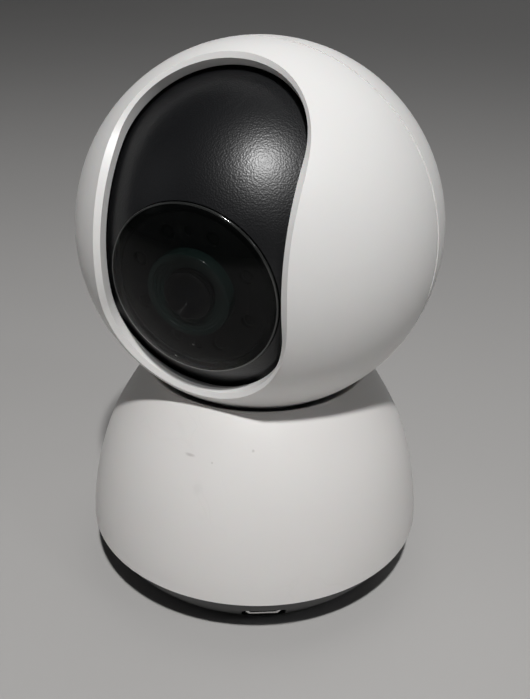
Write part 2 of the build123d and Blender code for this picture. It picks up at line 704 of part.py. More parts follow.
def speaker_place():
    """Place something about the head's centre with +Z out of the head's back through the loudspeaker."""
    return Rot(0, 0, 180) * look(SPEAKER_ANGLE)


def head_rear_shell():
    """White rear shell with the loudspeaker grille, its cup and the joining tongue."""
    shell = head_blank() & rear_region(0)
    cup = pipe(SPEAKER_RADIUS + SPEAKER_WALL, SPEAKER_RADIUS, SPEAKER_CUP_DEPTH, HEAD_RADIUS)
    shell += speaker_place() * cup & Sphere(HEAD_RADIUS - HEAD_WALL / 2)
    for x, y in grille_spots():
        shell -= speaker_place() * Pos(x, y, 0) * disc(GRILLE_HOLE, SPEAKER_FRONT, HEAD_RADIUS + 1)
    return head_place() * shell


def neck_screws():
    """Four screws put in from inside the head."""
    screws = []
    for place in neck_screw_places(HEAD_FOOT_Z + HEAD_WALL):
        screws.append(place * screw(HEAD_WALL + NECK_FLANGE - EAR_THICKNESS))
    return group(screws)


def bracket_plate():
    """Flat three-armed plate in the YZ plane, from x = 0 outwards."""
    arm_end = BOSS_RADIUS + EAR_THICKNESS / 2
    middle = Circle(HUB_RADIUS + 2)
    spots = [Pos(y, z) * Circle(arm_end) for y, z in bracket_spots()]
    outline = make_hull(middle.edges() + [edge for spot in spots for edge in spot.edges()])
    return Plane.YZ * extrude(outline, BRACKET_THICKNESS)


def tilt_bracket(side):
    """Bracket with a bearing hole and screw holes on one side of the ball."""
    low = BRACKET_X if side > 0 else -BRACKET_OUTER_X
    plate = Pos(low, 0, 0) * bracket_plate()
    plate -= along_x(BUSH_RADIUS, low, low + BRACKET_THICKNESS)
    for y, z in bracket_spots():
        plate -= Pos(0, y, z) * along_x(SCREW_RADIUS, low, low + BRACKET_THICKNESS)
    return plate


def tilt_ear_spots():
    """Y and Z of the tilt motor's fixing screws."""
    return ((TILT_MOTOR_Y, -TILT_EAR_Z), (TILT_MOTOR_Y, TILT_EAR_Z))


def tilt_bracket_left():
    """Bracket that also carries the tilt motor."""
    plate = tilt_bracket(-1)
    plate -= Pos(0, TILT_CENTRE_DISTANCE, 0) * along_x(SHAFT_HOLE_RADIUS, -BRACKET_OUTER_X, -BRACKET_X)
    for y, z in tilt_ear_spots():
        plate -= Pos(0, y, z) * along_x(SCREW_RADIUS, -BRACKET_OUTER_X, -BRACKET_X)
    return head_place() * plate


def tilt_bracket_right():
    """Bracket on the side away from the motor."""
    return head_place() * tilt_bracket(1)


def bracket_screws():
    """Six screws through the two brackets."""
    screws = []
    for side in (-1, 1):
        for y, z in bracket_spots():
            place = head_place() * Pos(side * BRACKET_X, y, z) * Rot(0, -90 * side, 0)
            screws.append(place * screw(BRACKET_THICKNESS + SCREW_RADIUS))
    return group(screws)


def tilt_bushes():
    """Two flanged bearings for the ball's axle stubs."""
    bushes = []
    for side in (-1, 1):
        bush = along_x(BUSH_RADIUS, BRACKET_X, BRACKET_OUTER_X)
        bush += along_x(BUSH_FLANGE_RADIUS, BRACKET_X - BUSH_FLANGE, BRACKET_X)
        bush -= along_x(AXLE_RADIUS + RUNNING_CLEARANCE, BRACKET_X - BUSH_FLANGE, BRACKET_OUTER_X)
        bushes.append(head_place() * to_side(side) * bush)
    return group(bushes)


def tilt_motor():
    """Flat geared motor outside the left bracket."""
    outer = -BRACKET_OUTER_X - TILT_MOTOR_DEPTH
    can = Pos(0, TILT_MOTOR_Y, 0) * along_x(TILT_MOTOR_RADIUS, outer, -BRACKET_OUTER_X)
    can = fillet(can.edges().group_by(Axis.X)[0], EAR_THICKNESS)
    ear_outer = -BRACKET_OUTER_X - EAR_THICKNESS
    strap = Box(EAR_THICKNESS, 2 * EAR_RADIUS, 2 * TILT_EAR_Z)
    strap = Pos((ear_outer - BRACKET_OUTER_X) / 2, TILT_MOTOR_Y, 0) * strap
    motor = can + strap
    for y, z in tilt_ear_spots():
        motor += Pos(0, y, z) * along_x(EAR_RADIUS, ear_outer, -BRACKET_OUTER_X)
        motor -= Pos(0, y, z) * along_x(SCREW_RADIUS, ear_outer, -BRACKET_OUTER_X)
    well_end = -BRACKET_OUTER_X - TILT_MOTOR_DEPTH / 2
    well = along_x(MOTOR_SHAFT_RADIUS + RUNNING_CLEARANCE, well_end, -BRACKET_OUTER_X)
    return head_place() * (motor - Pos(0, TILT_CENTRE_DISTANCE, 0) * well)


def tilt_motor_screws():
    """Two screws through the tilt motor's ears."""
    screws = []
    for y, z in tilt_ear_spots():
        place = head_place() * Pos(-BRACKET_OUTER_X - EAR_THICKNESS, y, z) * Rot(0, -90, 0)
        screws.append(place * screw(BRACKET_THICKNESS + EAR_THICKNESS))
    return group(screws)


def tilt_pinion():
    """Tilt motor's shaft and small gear, a gap between teeth facing the tilt axis."""
    start = -BRACKET_OUTER_X - TILT_MOTOR_DEPTH / 2 + RUNNING_CLEARANCE
    end = -BALL_HALF_WIDTH - BUSH_FLANGE / 4
    gear_start = -BALL_HALF_WIDTH - TILT_GEAR_THICKNESS - start
    upright = motor_pinion(end - start, gear_start)
    return head_place() * Pos(start, TILT_CENTRE_DISTANCE, 0) * Rot(0, 90, 0) * Rot(0, 0, -90) * upright


def speaker_basket():
    """Loudspeaker frame."""
    back = SPEAKER_FRONT - SPEAKER_DEPTH
    basket = pipe(SPEAKER_RADIUS, CONE_RADIUS, back, SPEAKER_FRONT)
    basket += pipe(SPEAKER_RADIUS, MAGNET_RADIUS, back, back + EAR_THICKNESS)
    return head_place() * speaker_place() * basket


def speaker_cone():
    """Loudspeaker diaphragm: a shallow dome with a rim."""
    back = SPEAKER_FRONT - SPEAKER_DEPTH / 2
    cone = pipe(CONE_RADIUS, MAGNET_RADIUS, back, back + EAR_THICKNESS / 2)
    cone += disc(MAGNET_RADIUS, back, back + EAR_THICKNESS)
    return head_place() * speaker_place() * cone


def speaker_magnet():
    """Loudspeaker magnet."""
    back = SPEAKER_FRONT - SPEAKER_DEPTH
    return head_place() * speaker_place() * disc(MAGNET_RADIUS, back, back + MAGNET_DEPTH)


def wifi_antenna():
    """Small antenna board on the right bracket."""
    width = BRACKET_REAR_Y / 3
    board = Box(EAR_THICKNESS, width, 2 * BRACKET_SCREW_Y)
    return head_place() * Pos(BRACKET_OUTER_X + EAR_THICKNESS / 2, HUB_RADIUS + width / 2 + 1, 0) * board


# ---- camera ball ----
def ball_solid(radius, half_width, edge_round):
    """Sphere cut flat at both sides."""
    body = Sphere(radius) & Box(2 * half_width, 4 * radius, 4 * radius)
    if edge_round > 0:
        body = fillet(body.edges().filter_by(GeomType.CIRCLE), edge_round)
    return body


def in_front_of(y):
    """Everything in front of a distance along the lens axis."""
    return Pos(0, y - FAR / 2, 0) * Box(2 * FAR, FAR, 2 * FAR)


def ball_screw_places(y):
    """Places of the four ball screws, +Z pointing back."""
    x = BALL_INNER_HALF_WIDTH - 2 * SCREW_RADIUS
    spots = [(-x, -BALL_SCREW_Z), (-x, BALL_SCREW_Z), (x, -BALL_SCREW_Z), (x, BALL_SCREW_Z)]
    return [Pos(x_place, y, z_place) * Rot(-90, 0, 0) for x_place, z_place in spots]


def board_screw_places(y):
    """Places of the four main board screws, +Z pointing back."""
    spots = [(-BOARD_SCREW_X, -BOARD_SCREW_Z), (-BOARD_SCREW_X, BOARD_SCREW_Z),
             (BOARD_SCREW_X, -BOARD_SCREW_Z), (BOARD_SCREW_X, BOARD_SCREW_Z)]
    return [Pos(x, y, z) * Rot(-90, 0, 0) for x, z in spots]


def window_outer():
    """Radius of the window's outer face about the ball's centre."""
    return BALL_RADIUS + WINDOW_RISE


def ball_front_shell():
    """Black front of the ball with window seat, axle stubs, card slot and button hole."""
    outside = ball_solid(BALL_RADIUS, BALL_HALF_WIDTH, BALL_EDGE_ROUND)
    inside = ball_solid(BALL_INNER, BALL_INNER_HALF_WIDTH, 0)
    for place in board_screw_places(0):
        inside -= place * disc(BOARD_POST_RADIUS, -FAR, BOARD_FRONT_Y)
    for place in ball_screw_places(0):
        inside -= place * disc(BOARD_POST_RADIUS, -FAR, BALL_SPLIT_Y)
    shell = outside - inside
    for side in (-1, 1):
        shell += to_side(side) * along_x(AXLE_RADIUS, BALL_INNER_HALF_WIDTH, AXLE_END_X)
    shell += along_x(HUB_RADIUS, BALL_INNER_HALF_WIDTH, HUB_END_X)
    shell &= in_front_of(BALL_SPLIT_Y)
    seat_radius = WINDOW_RADIUS + WINDOW_CLEARANCE
    seat = along_y(seat_radius, -FAR, 0) - Sphere(window_outer() - WINDOW_THICKNESS)
    shell = shell - seat - along_y(WINDOW_RADIUS - WINDOW_LEDGE, -FAR, SHROUD_FRONT_Y + LENS_RING_DEPTH * 2)
    for place in board_screw_places(BOARD_FRONT_Y):
        shell -= place * disc(SCREW_RADIUS, -2 * BALL_WALL, 0)
    for place in ball_screw_places(BALL_SPLIT_Y):
        shell -= place * disc(SCREW_RADIUS, -2 * BALL_WALL, 0)
    slot_front = CARD_Y - CARD_SLOT_HEIGHT / 2
    shell -= block(CARD_WIDTH, slot_front, slot_front + CARD_SLOT_HEIGHT, -FAR, -BOARD_HEIGHT / 2)
    button = disc(BUTTON_RADIUS + BUTTON_CLEARANCE, -FAR, -BOARD_HEIGHT / 2)
    shell -= Pos(BUTTON_X, BUTTON_Y, 0) * button
    shell -= Pos(-BUTTON_X, BUTTON_Y, 0) * disc(MICROPHONE_HOLE, -FAR, -BOARD_HEIGHT / 2)
    return ball_place() * shell


def ball_rear_cover():
    """Black rear of the ball with a flat back and a cable slot."""
    outside = ball_solid(BALL_RADIUS, BALL_HALF_WIDTH, BALL_EDGE_ROUND)
    inside = ball_solid(BALL_INNER, BALL_INNER_HALF_WIDTH, 0) & in_front_of(BALL_BACK_Y - BALL_WALL)
    for place in ball_screw_places(0):
        inside -= place * disc(BOSS_RADIUS, BALL_SPLIT_Y, BALL_BACK_Y)
    cover = (outside - inside) & in_front_of(BALL_BACK_Y)
    cover -= in_front_of(BALL_SPLIT_Y)
    well_radius = SCREW_HEAD_RADIUS + TONGUE_CLEARANCE
    for place in ball_screw_places(0):
        cover -= place * disc(SCREW_RADIUS, BALL_SPLIT_Y, BALL_BACK_Y)
        cover -= place * disc(well_radius, BALL_BACK_Y - SCREW_HEAD_HEIGHT, BALL_BACK_Y)
    cable = block(CARD_WIDTH, BALL_SPLIT_Y, BALL_BACK_Y, -BALL_WALL, BALL_WALL)
    return ball_place() * (cover - cable)


def ball_screws():
    """Four screws that join the ball's two shells."""
    seat = BALL_BACK_Y - SCREW_HEAD_HEIGHT
    length = seat - BALL_SPLIT_Y + 2 * BALL_WALL
    return group([ball_place() * place * screw(length) for place in ball_screw_places(seat)])


def window():
    """Domed smoked window, level with the ball and standing a little proud of it."""
    outer = window_outer()
    inner = outer - WINDOW_THICKNESS
    rim_outer = (WINDOW_RADIUS, -math.sqrt(outer ** 2 - WINDOW_RADIUS ** 2))
    rim_inner = (WINDOW_RADIUS, -math.sqrt(inner ** 2 - WINDOW_RADIUS ** 2))
    front = RadiusArc((0, -outer), rim_outer, -outer)
    back = RadiusArc((0, -inner), rim_inner, -inner)
    section = make_face([front, Line(rim_outer, rim_inner), back, Line((0, -inner), (0, -outer))])
    corner = section.vertices().sort_by_distance((*rim_outer, 0))[0]
    return ball_place() * revolve(fillet(corner, WINDOW_RISE), Axis.Y)


def led_angles():
    """Angles of the infrared lamps around the lens."""
    return [(lamp + 1 / 2) * 360.0 / LED_COUNT for lamp in range(LED_COUNT)]


def on_led_circle(angle, y):
    """Place on the circle of lamps, +Z pointing out of the lens side."""
    return Rot(0, angle, 0) * Pos(LED_CIRCLE, y, 0) * Rot(90, 0, 0)


def lens_shroud():
    """Black plate behind the window with the lamp holes."""
    back = SHROUD_FRONT_Y + SHROUD_THICKNESS
    plate = along_y(WINDOW_RADIUS - WINDOW_LEDGE - TONGUE_CLEARANCE, SHROUD_FRONT_Y, back)
    plate -= along_y(LENS_RING_RADIUS, SHROUD_FRONT_Y, back)
    for angle in led_angles():
        plate -= on_led_circle(angle, 0) * disc(LED_RADIUS + TONGUE_CLEARANCE, -back, -SHROUD_FRONT_Y)
    for angle in (90.0, -90.0):
        plate -= on_led_circle(angle, 0) * disc(SMALL_LED_RADIUS + TONGUE_CLEARANCE, -back, -SHROUD_FRONT_Y)
    return ball_place() * plate


def lens_ring():
    """Tinted ring around the lens, coned inwards."""
    back = LENS_RING_FRONT_Y + LENS_RING_DEPTH + SHROUD_THICKNESS
    ring = along_y(LENS_RING_RADIUS, LENS_RING_FRONT_Y, back)
    ring -= along_y(BARREL_RADIUS + TONGUE_CLEARANCE, LENS_RING_FRONT_Y, back)
    inner = ring.edges().filter_by(GeomType.CIRCLE).group_by(Axis.Y)[0].sort_by(lambda edge: edge.radius)[0]
    ring = chamfer(inner, LENS_RING_DEPTH / 4)
    return ball_place() * ring


def lens_barrel():
    """Threaded-style lens tube with a stepped front."""
    back = BARREL_BACK_Y
    barrel = along_y(BARREL_RADIUS, BARREL_FRONT_Y, BARREL_FRONT_Y + LENS_RING_DEPTH * 2)
    barrel += along_y(BARREL_RADIUS - BARREL_STEP, BARREL_FRONT_Y, back)
    barrel -= along_y(LENS_GLASS_RADIUS, BARREL_FRONT_Y, BARREL_FRONT_Y + LENS_GLASS_DEPTH)
    barrel -= along_y(LENS_GLASS_RADIUS / 2, BARREL_FRONT_Y, back)
    mouth = barrel.edges().filter_by(GeomType.CIRCLE).group_by(Axis.Y)[0].sort_by(lambda edge: edge.radius)[0]
    return ball_place() * chamfer(mouth, BARREL_RADIUS - LENS_GLASS_RADIUS - BARREL_LIP)


def lens_glass():
    """Front lens with a domed face."""
    back = BARREL_FRONT_Y + LENS_GLASS_DEPTH
    front = BARREL_FRONT_Y + LENS_GLASS_DEPTH / 3
    glass = along_y(LENS_GLASS_RADIUS, BARREL_FRONT_Y, back)
    dome = Pos(0, front + LENS_GLASS_RADIUS * 2, 0) * Sphere(LENS_GLASS_RADIUS * 2)
    return ball_place() * (glass & dome)


def lens_holder():
    """Block on the main board that the lens tube goes into."""
    front = BOARD_FRONT_Y - HOLDER_DEPTH
    holder = block(HOLDER_SIZE, front, BOARD_FRONT_Y, -HOLDER_SIZE / 2, HOLDER_SIZE / 2)
    holder = fillet(holder.edges().filter_by(Axis.Y), BOSS_RADIUS / 2)
    holder -= along_y(BARREL_RADIUS - BARREL_STEP, front, BARREL_BACK_Y)
    inner = HOLDER_SIZE - 2 * BOSS_RADIUS
    holder -= block(inner, BARREL_BACK_Y, BOARD_FRONT_Y, -inner / 2, inner / 2)
    return ball_place() * holder


def image_sensor():
    """Sensor chip on the main board."""
    size = HOLDER_SIZE - 2 * BOSS_RADIUS - 1
    return ball_place() * block(size, BOARD_FRONT_Y - SHROUD_THICKNESS, BOARD_FRONT_Y, -size / 2, size / 2)


def led_board():
    """Ring-shaped board that carries the lamps."""
    back = LED_BOARD_Y + LED_BOARD_THICKNESS
    board = along_y(LED_BOARD_RADIUS, LED_BOARD_Y, back)
    return ball_place() * (board - along_y(LED_BOARD_BORE, LED_BOARD_Y, back))


def infrared_leds():
    """Ring of infrared lamps."""
    lamps = []
    for angle in led_angles():
        lamp = disc(LED_RADIUS, -LED_BOARD_Y, -LED_BOARD_Y + LED_HEIGHT)
        lamp += disc(LED_SKIRT_RADIUS, -LED_BOARD_Y, -LED_BOARD_Y + LED_HEIGHT / 2)
        lamp = fillet(lamp.edges().group_by(Axis.Z)[-1], LED_RADIUS / 2)
        lamps.append(ball_place() * on_led_circle(angle, 0) * lamp)
    return group(lamps)


def small_lamp(angle):
    """Small chip with a round top beside the infrared lamps."""
    chip = disc(SMALL_LED_RADIUS, -LED_BOARD_Y, -LED_BOARD_Y + LED_HEIGHT)
    return ball_place() * on_led_circle(angle, 0) * chip


def status_led():
    """Status lamp on the left of the lens."""
    return small_lamp(-90.0)


def light_sensor():
    """Light sensor on the right of the lens."""
    return small_lamp(90.0)


def main_board():
    """Main circuit board across the ball."""
    board = block(BOARD_WIDTH, BOARD_FRONT_Y, BOARD_BACK_Y, -BOARD_HEIGHT / 2, BOARD_HEIGHT / 2)
    board = fillet(board.edges().filter_by(Axis.Y), BOSS_RADIUS)
    for place in board_screw_places(0):
        board -= place * disc(SCREW_RADIUS, BOARD_FRONT_Y, BOARD_BACK_Y)
    return ball_place() * board


def board_screws():
    """Four screws through the main board."""
    length = BOARD_THICKNESS + BALL_WALL
    return group([ball_place() * place * screw(length) for place in board_screw_places(BOARD_BACK_Y)])


def processor_shield():
    """Thin metal can over the processor."""
    size = SHIELD_SIZE
    height = 2 * BOARD_THICKNESS
    outside = block(size, BOARD_BACK_Y, BOARD_BACK_Y + height, -size / 2, size / 2)
    outside = fillet(outside.edges().filter_by(Axis.Y), BOARD_THICKNESS)
    inner = size - 2 * EAR_THICKNESS
    inside = block(inner, BOARD_BACK_Y, BOARD_BACK_Y + height - EAR_THICKNESS, -inner / 2, inner / 2)
    return ball_place() * (outside - inside)


def card_socket():
    """Metal memory card socket, open below."""
    low = -BOARD_HEIGHT / 2 + 1
    high = low + SOCKET_LENGTH - 2
    front = BOARD_FRONT_Y - SOCKET_THICKNESS
    body = block(SOCKET_WIDTH, front, BOARD_FRONT_Y, low, high)
    wall = (SOCKET_THICKNESS - CARD_SLOT_HEIGHT) / 2
    inside = block(SOCKET_WIDTH - 2, front + wall, BOARD_FRONT_Y - wall, low, high - 1)
    return ball_place() * (body - inside)


def microphone():
    """Microphone capsule on the main board behind its hole."""
    low = -BOARD_HEIGHT / 2
    capsule = disc(BUTTON_RADIUS + TONGUE_CLEARANCE, low + MICROPHONE_INSET, low + 2 * BOARD_THICKNESS)
    return ball_place() * Pos(-BUTTON_X, BOARD_FRONT_Y - BUTTON_RADIUS - TONGUE_CLEARANCE, 0) * capsule


def reset_switch():
    """Small push switch on the main board's edge."""
    low = -BOARD_HEIGHT / 2 + 2
    front = BOARD_FRONT_Y - 2 * SOCKET_THICKNESS
    body = block(3 * BUTTON_RADIUS, front, BOARD_FRONT_Y, low, low + 2 * BUTTON_RADIUS)
    return ball_place() * Pos(BUTTON_X, 0, 0) * body


def reset_button():
    """Sprung button level with the ball's surface."""
    low = -math.sqrt(BALL_RADIUS ** 2 - BUTTON_Y ** 2 - BUTTON_X ** 2) + BUTTON_CLEARANCE
    high = -BOARD_HEIGHT / 2 + 2 - BUTTON_TRAVEL
    stem = disc(BUTTON_RADIUS, low, high)
    stem = fillet(stem.edges().group_by(Axis.Z)[0], BUTTON_RADIUS / 3)
    return ball_place() * Pos(BUTTON_X, BUTTON_Y, 0) * stem


def tilt_gear():
    """Gear on the left axle stub, with a tooth facing the pinion when the head is at rest."""
    body = gear(TILT_TEETH, TILT_GEAR_THICKNESS) - disc(AXLE_RADIUS, 0, TILT_GEAR_THICKNESS)
    lying = Pos(-BALL_HALF_WIDTH, 0, 0) * Rot(0, -90, 0) * Rot(0, 0, 90) * body
    return head_place() * lying


NODES = {
    "base_shell": base_shell,
    "base_cover": base_cover,
    "foot_ring": foot_ring,
    "base_screws": base_screws,
    "usb_board": usb_board,
    "usb_board_screws": usb_board_screws,
    "usb_socket": usb_socket,
    "usb_tongue": usb_tongue,
    "pan_frame": pan_frame,
    "pan_frame_screws": pan_frame_screws,
    "pan_bush": pan_bush,
    "thrust_washer": thrust_washer,
    "pan_motor": pan_motor,
    "pan_motor_screws": pan_motor_screws,
    "pan_pinion": pan_pinion,
    "pan_gear": pan_gear,
    "neck": neck,
    "neck_screws": neck_screws,
    "retaining_ring": retaining_ring,
    "head_front_shell": head_front_shell,
    "head_rear_shell": head_rear_shell,
    "tilt_bracket_left": tilt_bracket_left,
    "tilt_bracket_right": tilt_bracket_right,
    "bracket_screws": bracket_screws,
    "tilt_bushes": tilt_bushes,
    "tilt_motor": tilt_motor,
    "tilt_motor_screws": tilt_motor_screws,
    "tilt_pinion": tilt_pinion,
    "speaker_basket": speaker_basket,
    "speaker_cone": speaker_cone,
    "speaker_magnet": speaker_magnet,
    "wifi_antenna": wifi_antenna,
    "ball_front_shell": ball_front_shell,
    "ball_rear_cover": ball_rear_cover,
    "ball_screws": ball_screws,
    "window": window,
    "lens_shroud": lens_shroud,
    "lens_ring": lens_ring,
    "lens_barrel": lens_barrel,
    "lens_glass": lens_glass,
    "lens_holder": lens_holder,
    "image_sensor": image_sensor,
    "led_board": led_board,
    "infrared_leds": infrared_leds,
    "status_led": status_led,
    "light_sensor": light_sensor,
    "main_board": main_board,
    "board_screws": board_screws,
    "processor_shield": processor_shield,
    "card_socket": card_socket,
    "microphone": microphone,
    "reset_switch": reset_switch,
    "reset_button": reset_button,
    "tilt_gear": tilt_gear,
}


def main():
    """Write one STEP file for each node."""
    os.makedirs("parts", exist_ok=True)
    for name, make in NODES.items():
        export_step(make(), f"parts/{name}.step")


if __name__ == "__main__":
    main()
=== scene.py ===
"""Looks of the baby monitor camera: finishes, lens surfaces, floor, lights and camera.

Metres, Z up. The origin is the middle of the underside, on the pan axis, and the head looks along -Y.
"""

import logging
import math
from dataclasses import dataclass, field
from enum import Enum
from typing import ClassVar, Dict, List, Optional, Sequence, Tuple

import bpy
import numpy as np
from mathutils import Matrix, Vector


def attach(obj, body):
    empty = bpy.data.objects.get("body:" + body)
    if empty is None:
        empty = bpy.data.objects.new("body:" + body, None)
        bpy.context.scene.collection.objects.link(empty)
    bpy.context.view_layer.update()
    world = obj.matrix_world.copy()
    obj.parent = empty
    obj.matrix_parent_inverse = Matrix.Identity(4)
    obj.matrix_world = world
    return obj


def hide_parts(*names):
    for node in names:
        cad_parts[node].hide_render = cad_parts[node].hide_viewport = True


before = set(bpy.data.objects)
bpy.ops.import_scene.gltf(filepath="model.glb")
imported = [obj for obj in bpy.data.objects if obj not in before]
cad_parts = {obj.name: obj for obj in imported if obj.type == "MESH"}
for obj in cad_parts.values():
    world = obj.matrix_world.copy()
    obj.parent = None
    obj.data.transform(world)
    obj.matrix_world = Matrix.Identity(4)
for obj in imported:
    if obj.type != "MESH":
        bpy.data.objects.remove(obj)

LOG = logging.getLogger("baby_monitor_camera")
MILLIMETRE = 0.001

Colour = Tuple[float, float, float]
Point = Tuple[float, float, float]
Span = Tuple[float, float]
Socket = bpy.types.NodeSocket
Sockets = Dict[str, object]


# ---------------------------------------------------------------- node graphs
class Graph:
    """A node tree that is filled by short calls."""

    def __init__(self, tree: bpy.types.NodeTree) -> None:
        """Empty the tree.

        Args:
            tree: The node tree to fill.
        """
        self.tree = tree
        self.tree.nodes.clear()
        self.column = 0

    def add(self, kind: str, inputs: Optional[Sockets] = None, **settings: object) -> bpy.types.Node:
        """Add a node, set it up and feed its inputs.

        Args:
            kind: The node's type, such as ShaderNodeMath.
            inputs: Values or output sockets by the name or number of the node's input.
            settings: Attributes to set on the node.

        Returns:
            The new node.
        """
        node = self.tree.nodes.new(kind)
        node.location = (180.0 * self.column, -40.0 * (self.column % 7))
        self.column += 1
        for name, value in settings.items():
            setattr(node, name, value)
        for name, value in (inputs or {}).items():
            self.feed(node.inputs[name], value)
        return node

    def feed(self, socket: Socket, value: object) -> None:
        """Link an output to an input, or set the input's own value.

        Args:
            socket: The input.
            value: An output socket, or a number, colour or vector.
        """
        if isinstance(value, Socket):
            self.tree.links.new(value, socket)
        elif socket.type == "RGBA" and len(value) == 3:
            socket.default_value = (*value, 1.0)
        else:
            socket.default_value = value

    def vector(self, operation: str, *values: object) -> bpy.types.Node:
        """Work out one vector from others and return the node."""
        inputs = {index: value for index, value in enumerate(values)}
        return self.add("ShaderNodeVectorMath", inputs, operation=operation)

    def bump(self, height: object, distance: float) -> Socket:
        """Return the normals of a surface raised by a height, 0 to 1, times a distance in metres."""
        inputs = {"Height": height, "Strength": 1.0, "Distance": distance}
        return self.add("ShaderNodeBump", inputs).outputs["Normal"]

    def math(self, operation: str, *values: object, clamp: bool = False) -> Socket:
        """Work out one number from others and return the output socket."""
        inputs = {index: value for index, value in enumerate(values)}
        return self.add("ShaderNodeMath", inputs, operation=operation, use_clamp=clamp).outputs[0]

    def ramp(self, value: object, low: float, high: float, to_low: float = 0.0,
             to_high: float = 1.0) -> Socket:
        """Carry a number from one range to another with a smooth start and end.

        Args:
            value: The number's socket.
            low: The value that becomes to_low.
            high: The value that becomes to_high.
            to_low: Result at the low end.
            to_high: Result at the high end.

        Returns:
            The output socket.
        """
        inputs = {"Value": value, "From Min": low, "From Max": high, "To Min": to_low, "To Max": to_high}
        return self.add("ShaderNodeMapRange", inputs, interpolation_type="SMOOTHSTEP").outputs["Result"]

    def mix(self, share: object, first: object, second: object, blend: str = "MIX") -> Socket:
        """Mix two colours by a share and return the output socket."""
        node = self.add("ShaderNodeMix", data_type="RGBA", blend_type=blend)
        self.feed(node.inputs[0], share)
        self.feed(node.inputs[6], first)
        self.feed(node.inputs[7], second)
        return node.outputs[2]

    def noise(self, place: object, scale: object, detail: float = 2.0, roughness: float = 0.5) -> Socket:
        """Return smooth random values, 0 to 1, at a number of features to the metre."""
        inputs = {"Vector": place, "Scale": scale, "Detail": detail, "Roughness": roughness}
        return self.add("ShaderNodeTexNoise", inputs).outputs["Fac"]


class Effect(Enum):
    """The shared surface effects, by the names of their node groups."""

    GRAIN = "moulded_grain"
    DRIFT = "tone_drift"
    SCUFFS = "hair_scuffs"
    SPECKS = "dust_specks"
    RUB = "rubbed_spot"
    BRUSHING = "brushed_lines"
    TRACES = "copper_traces"


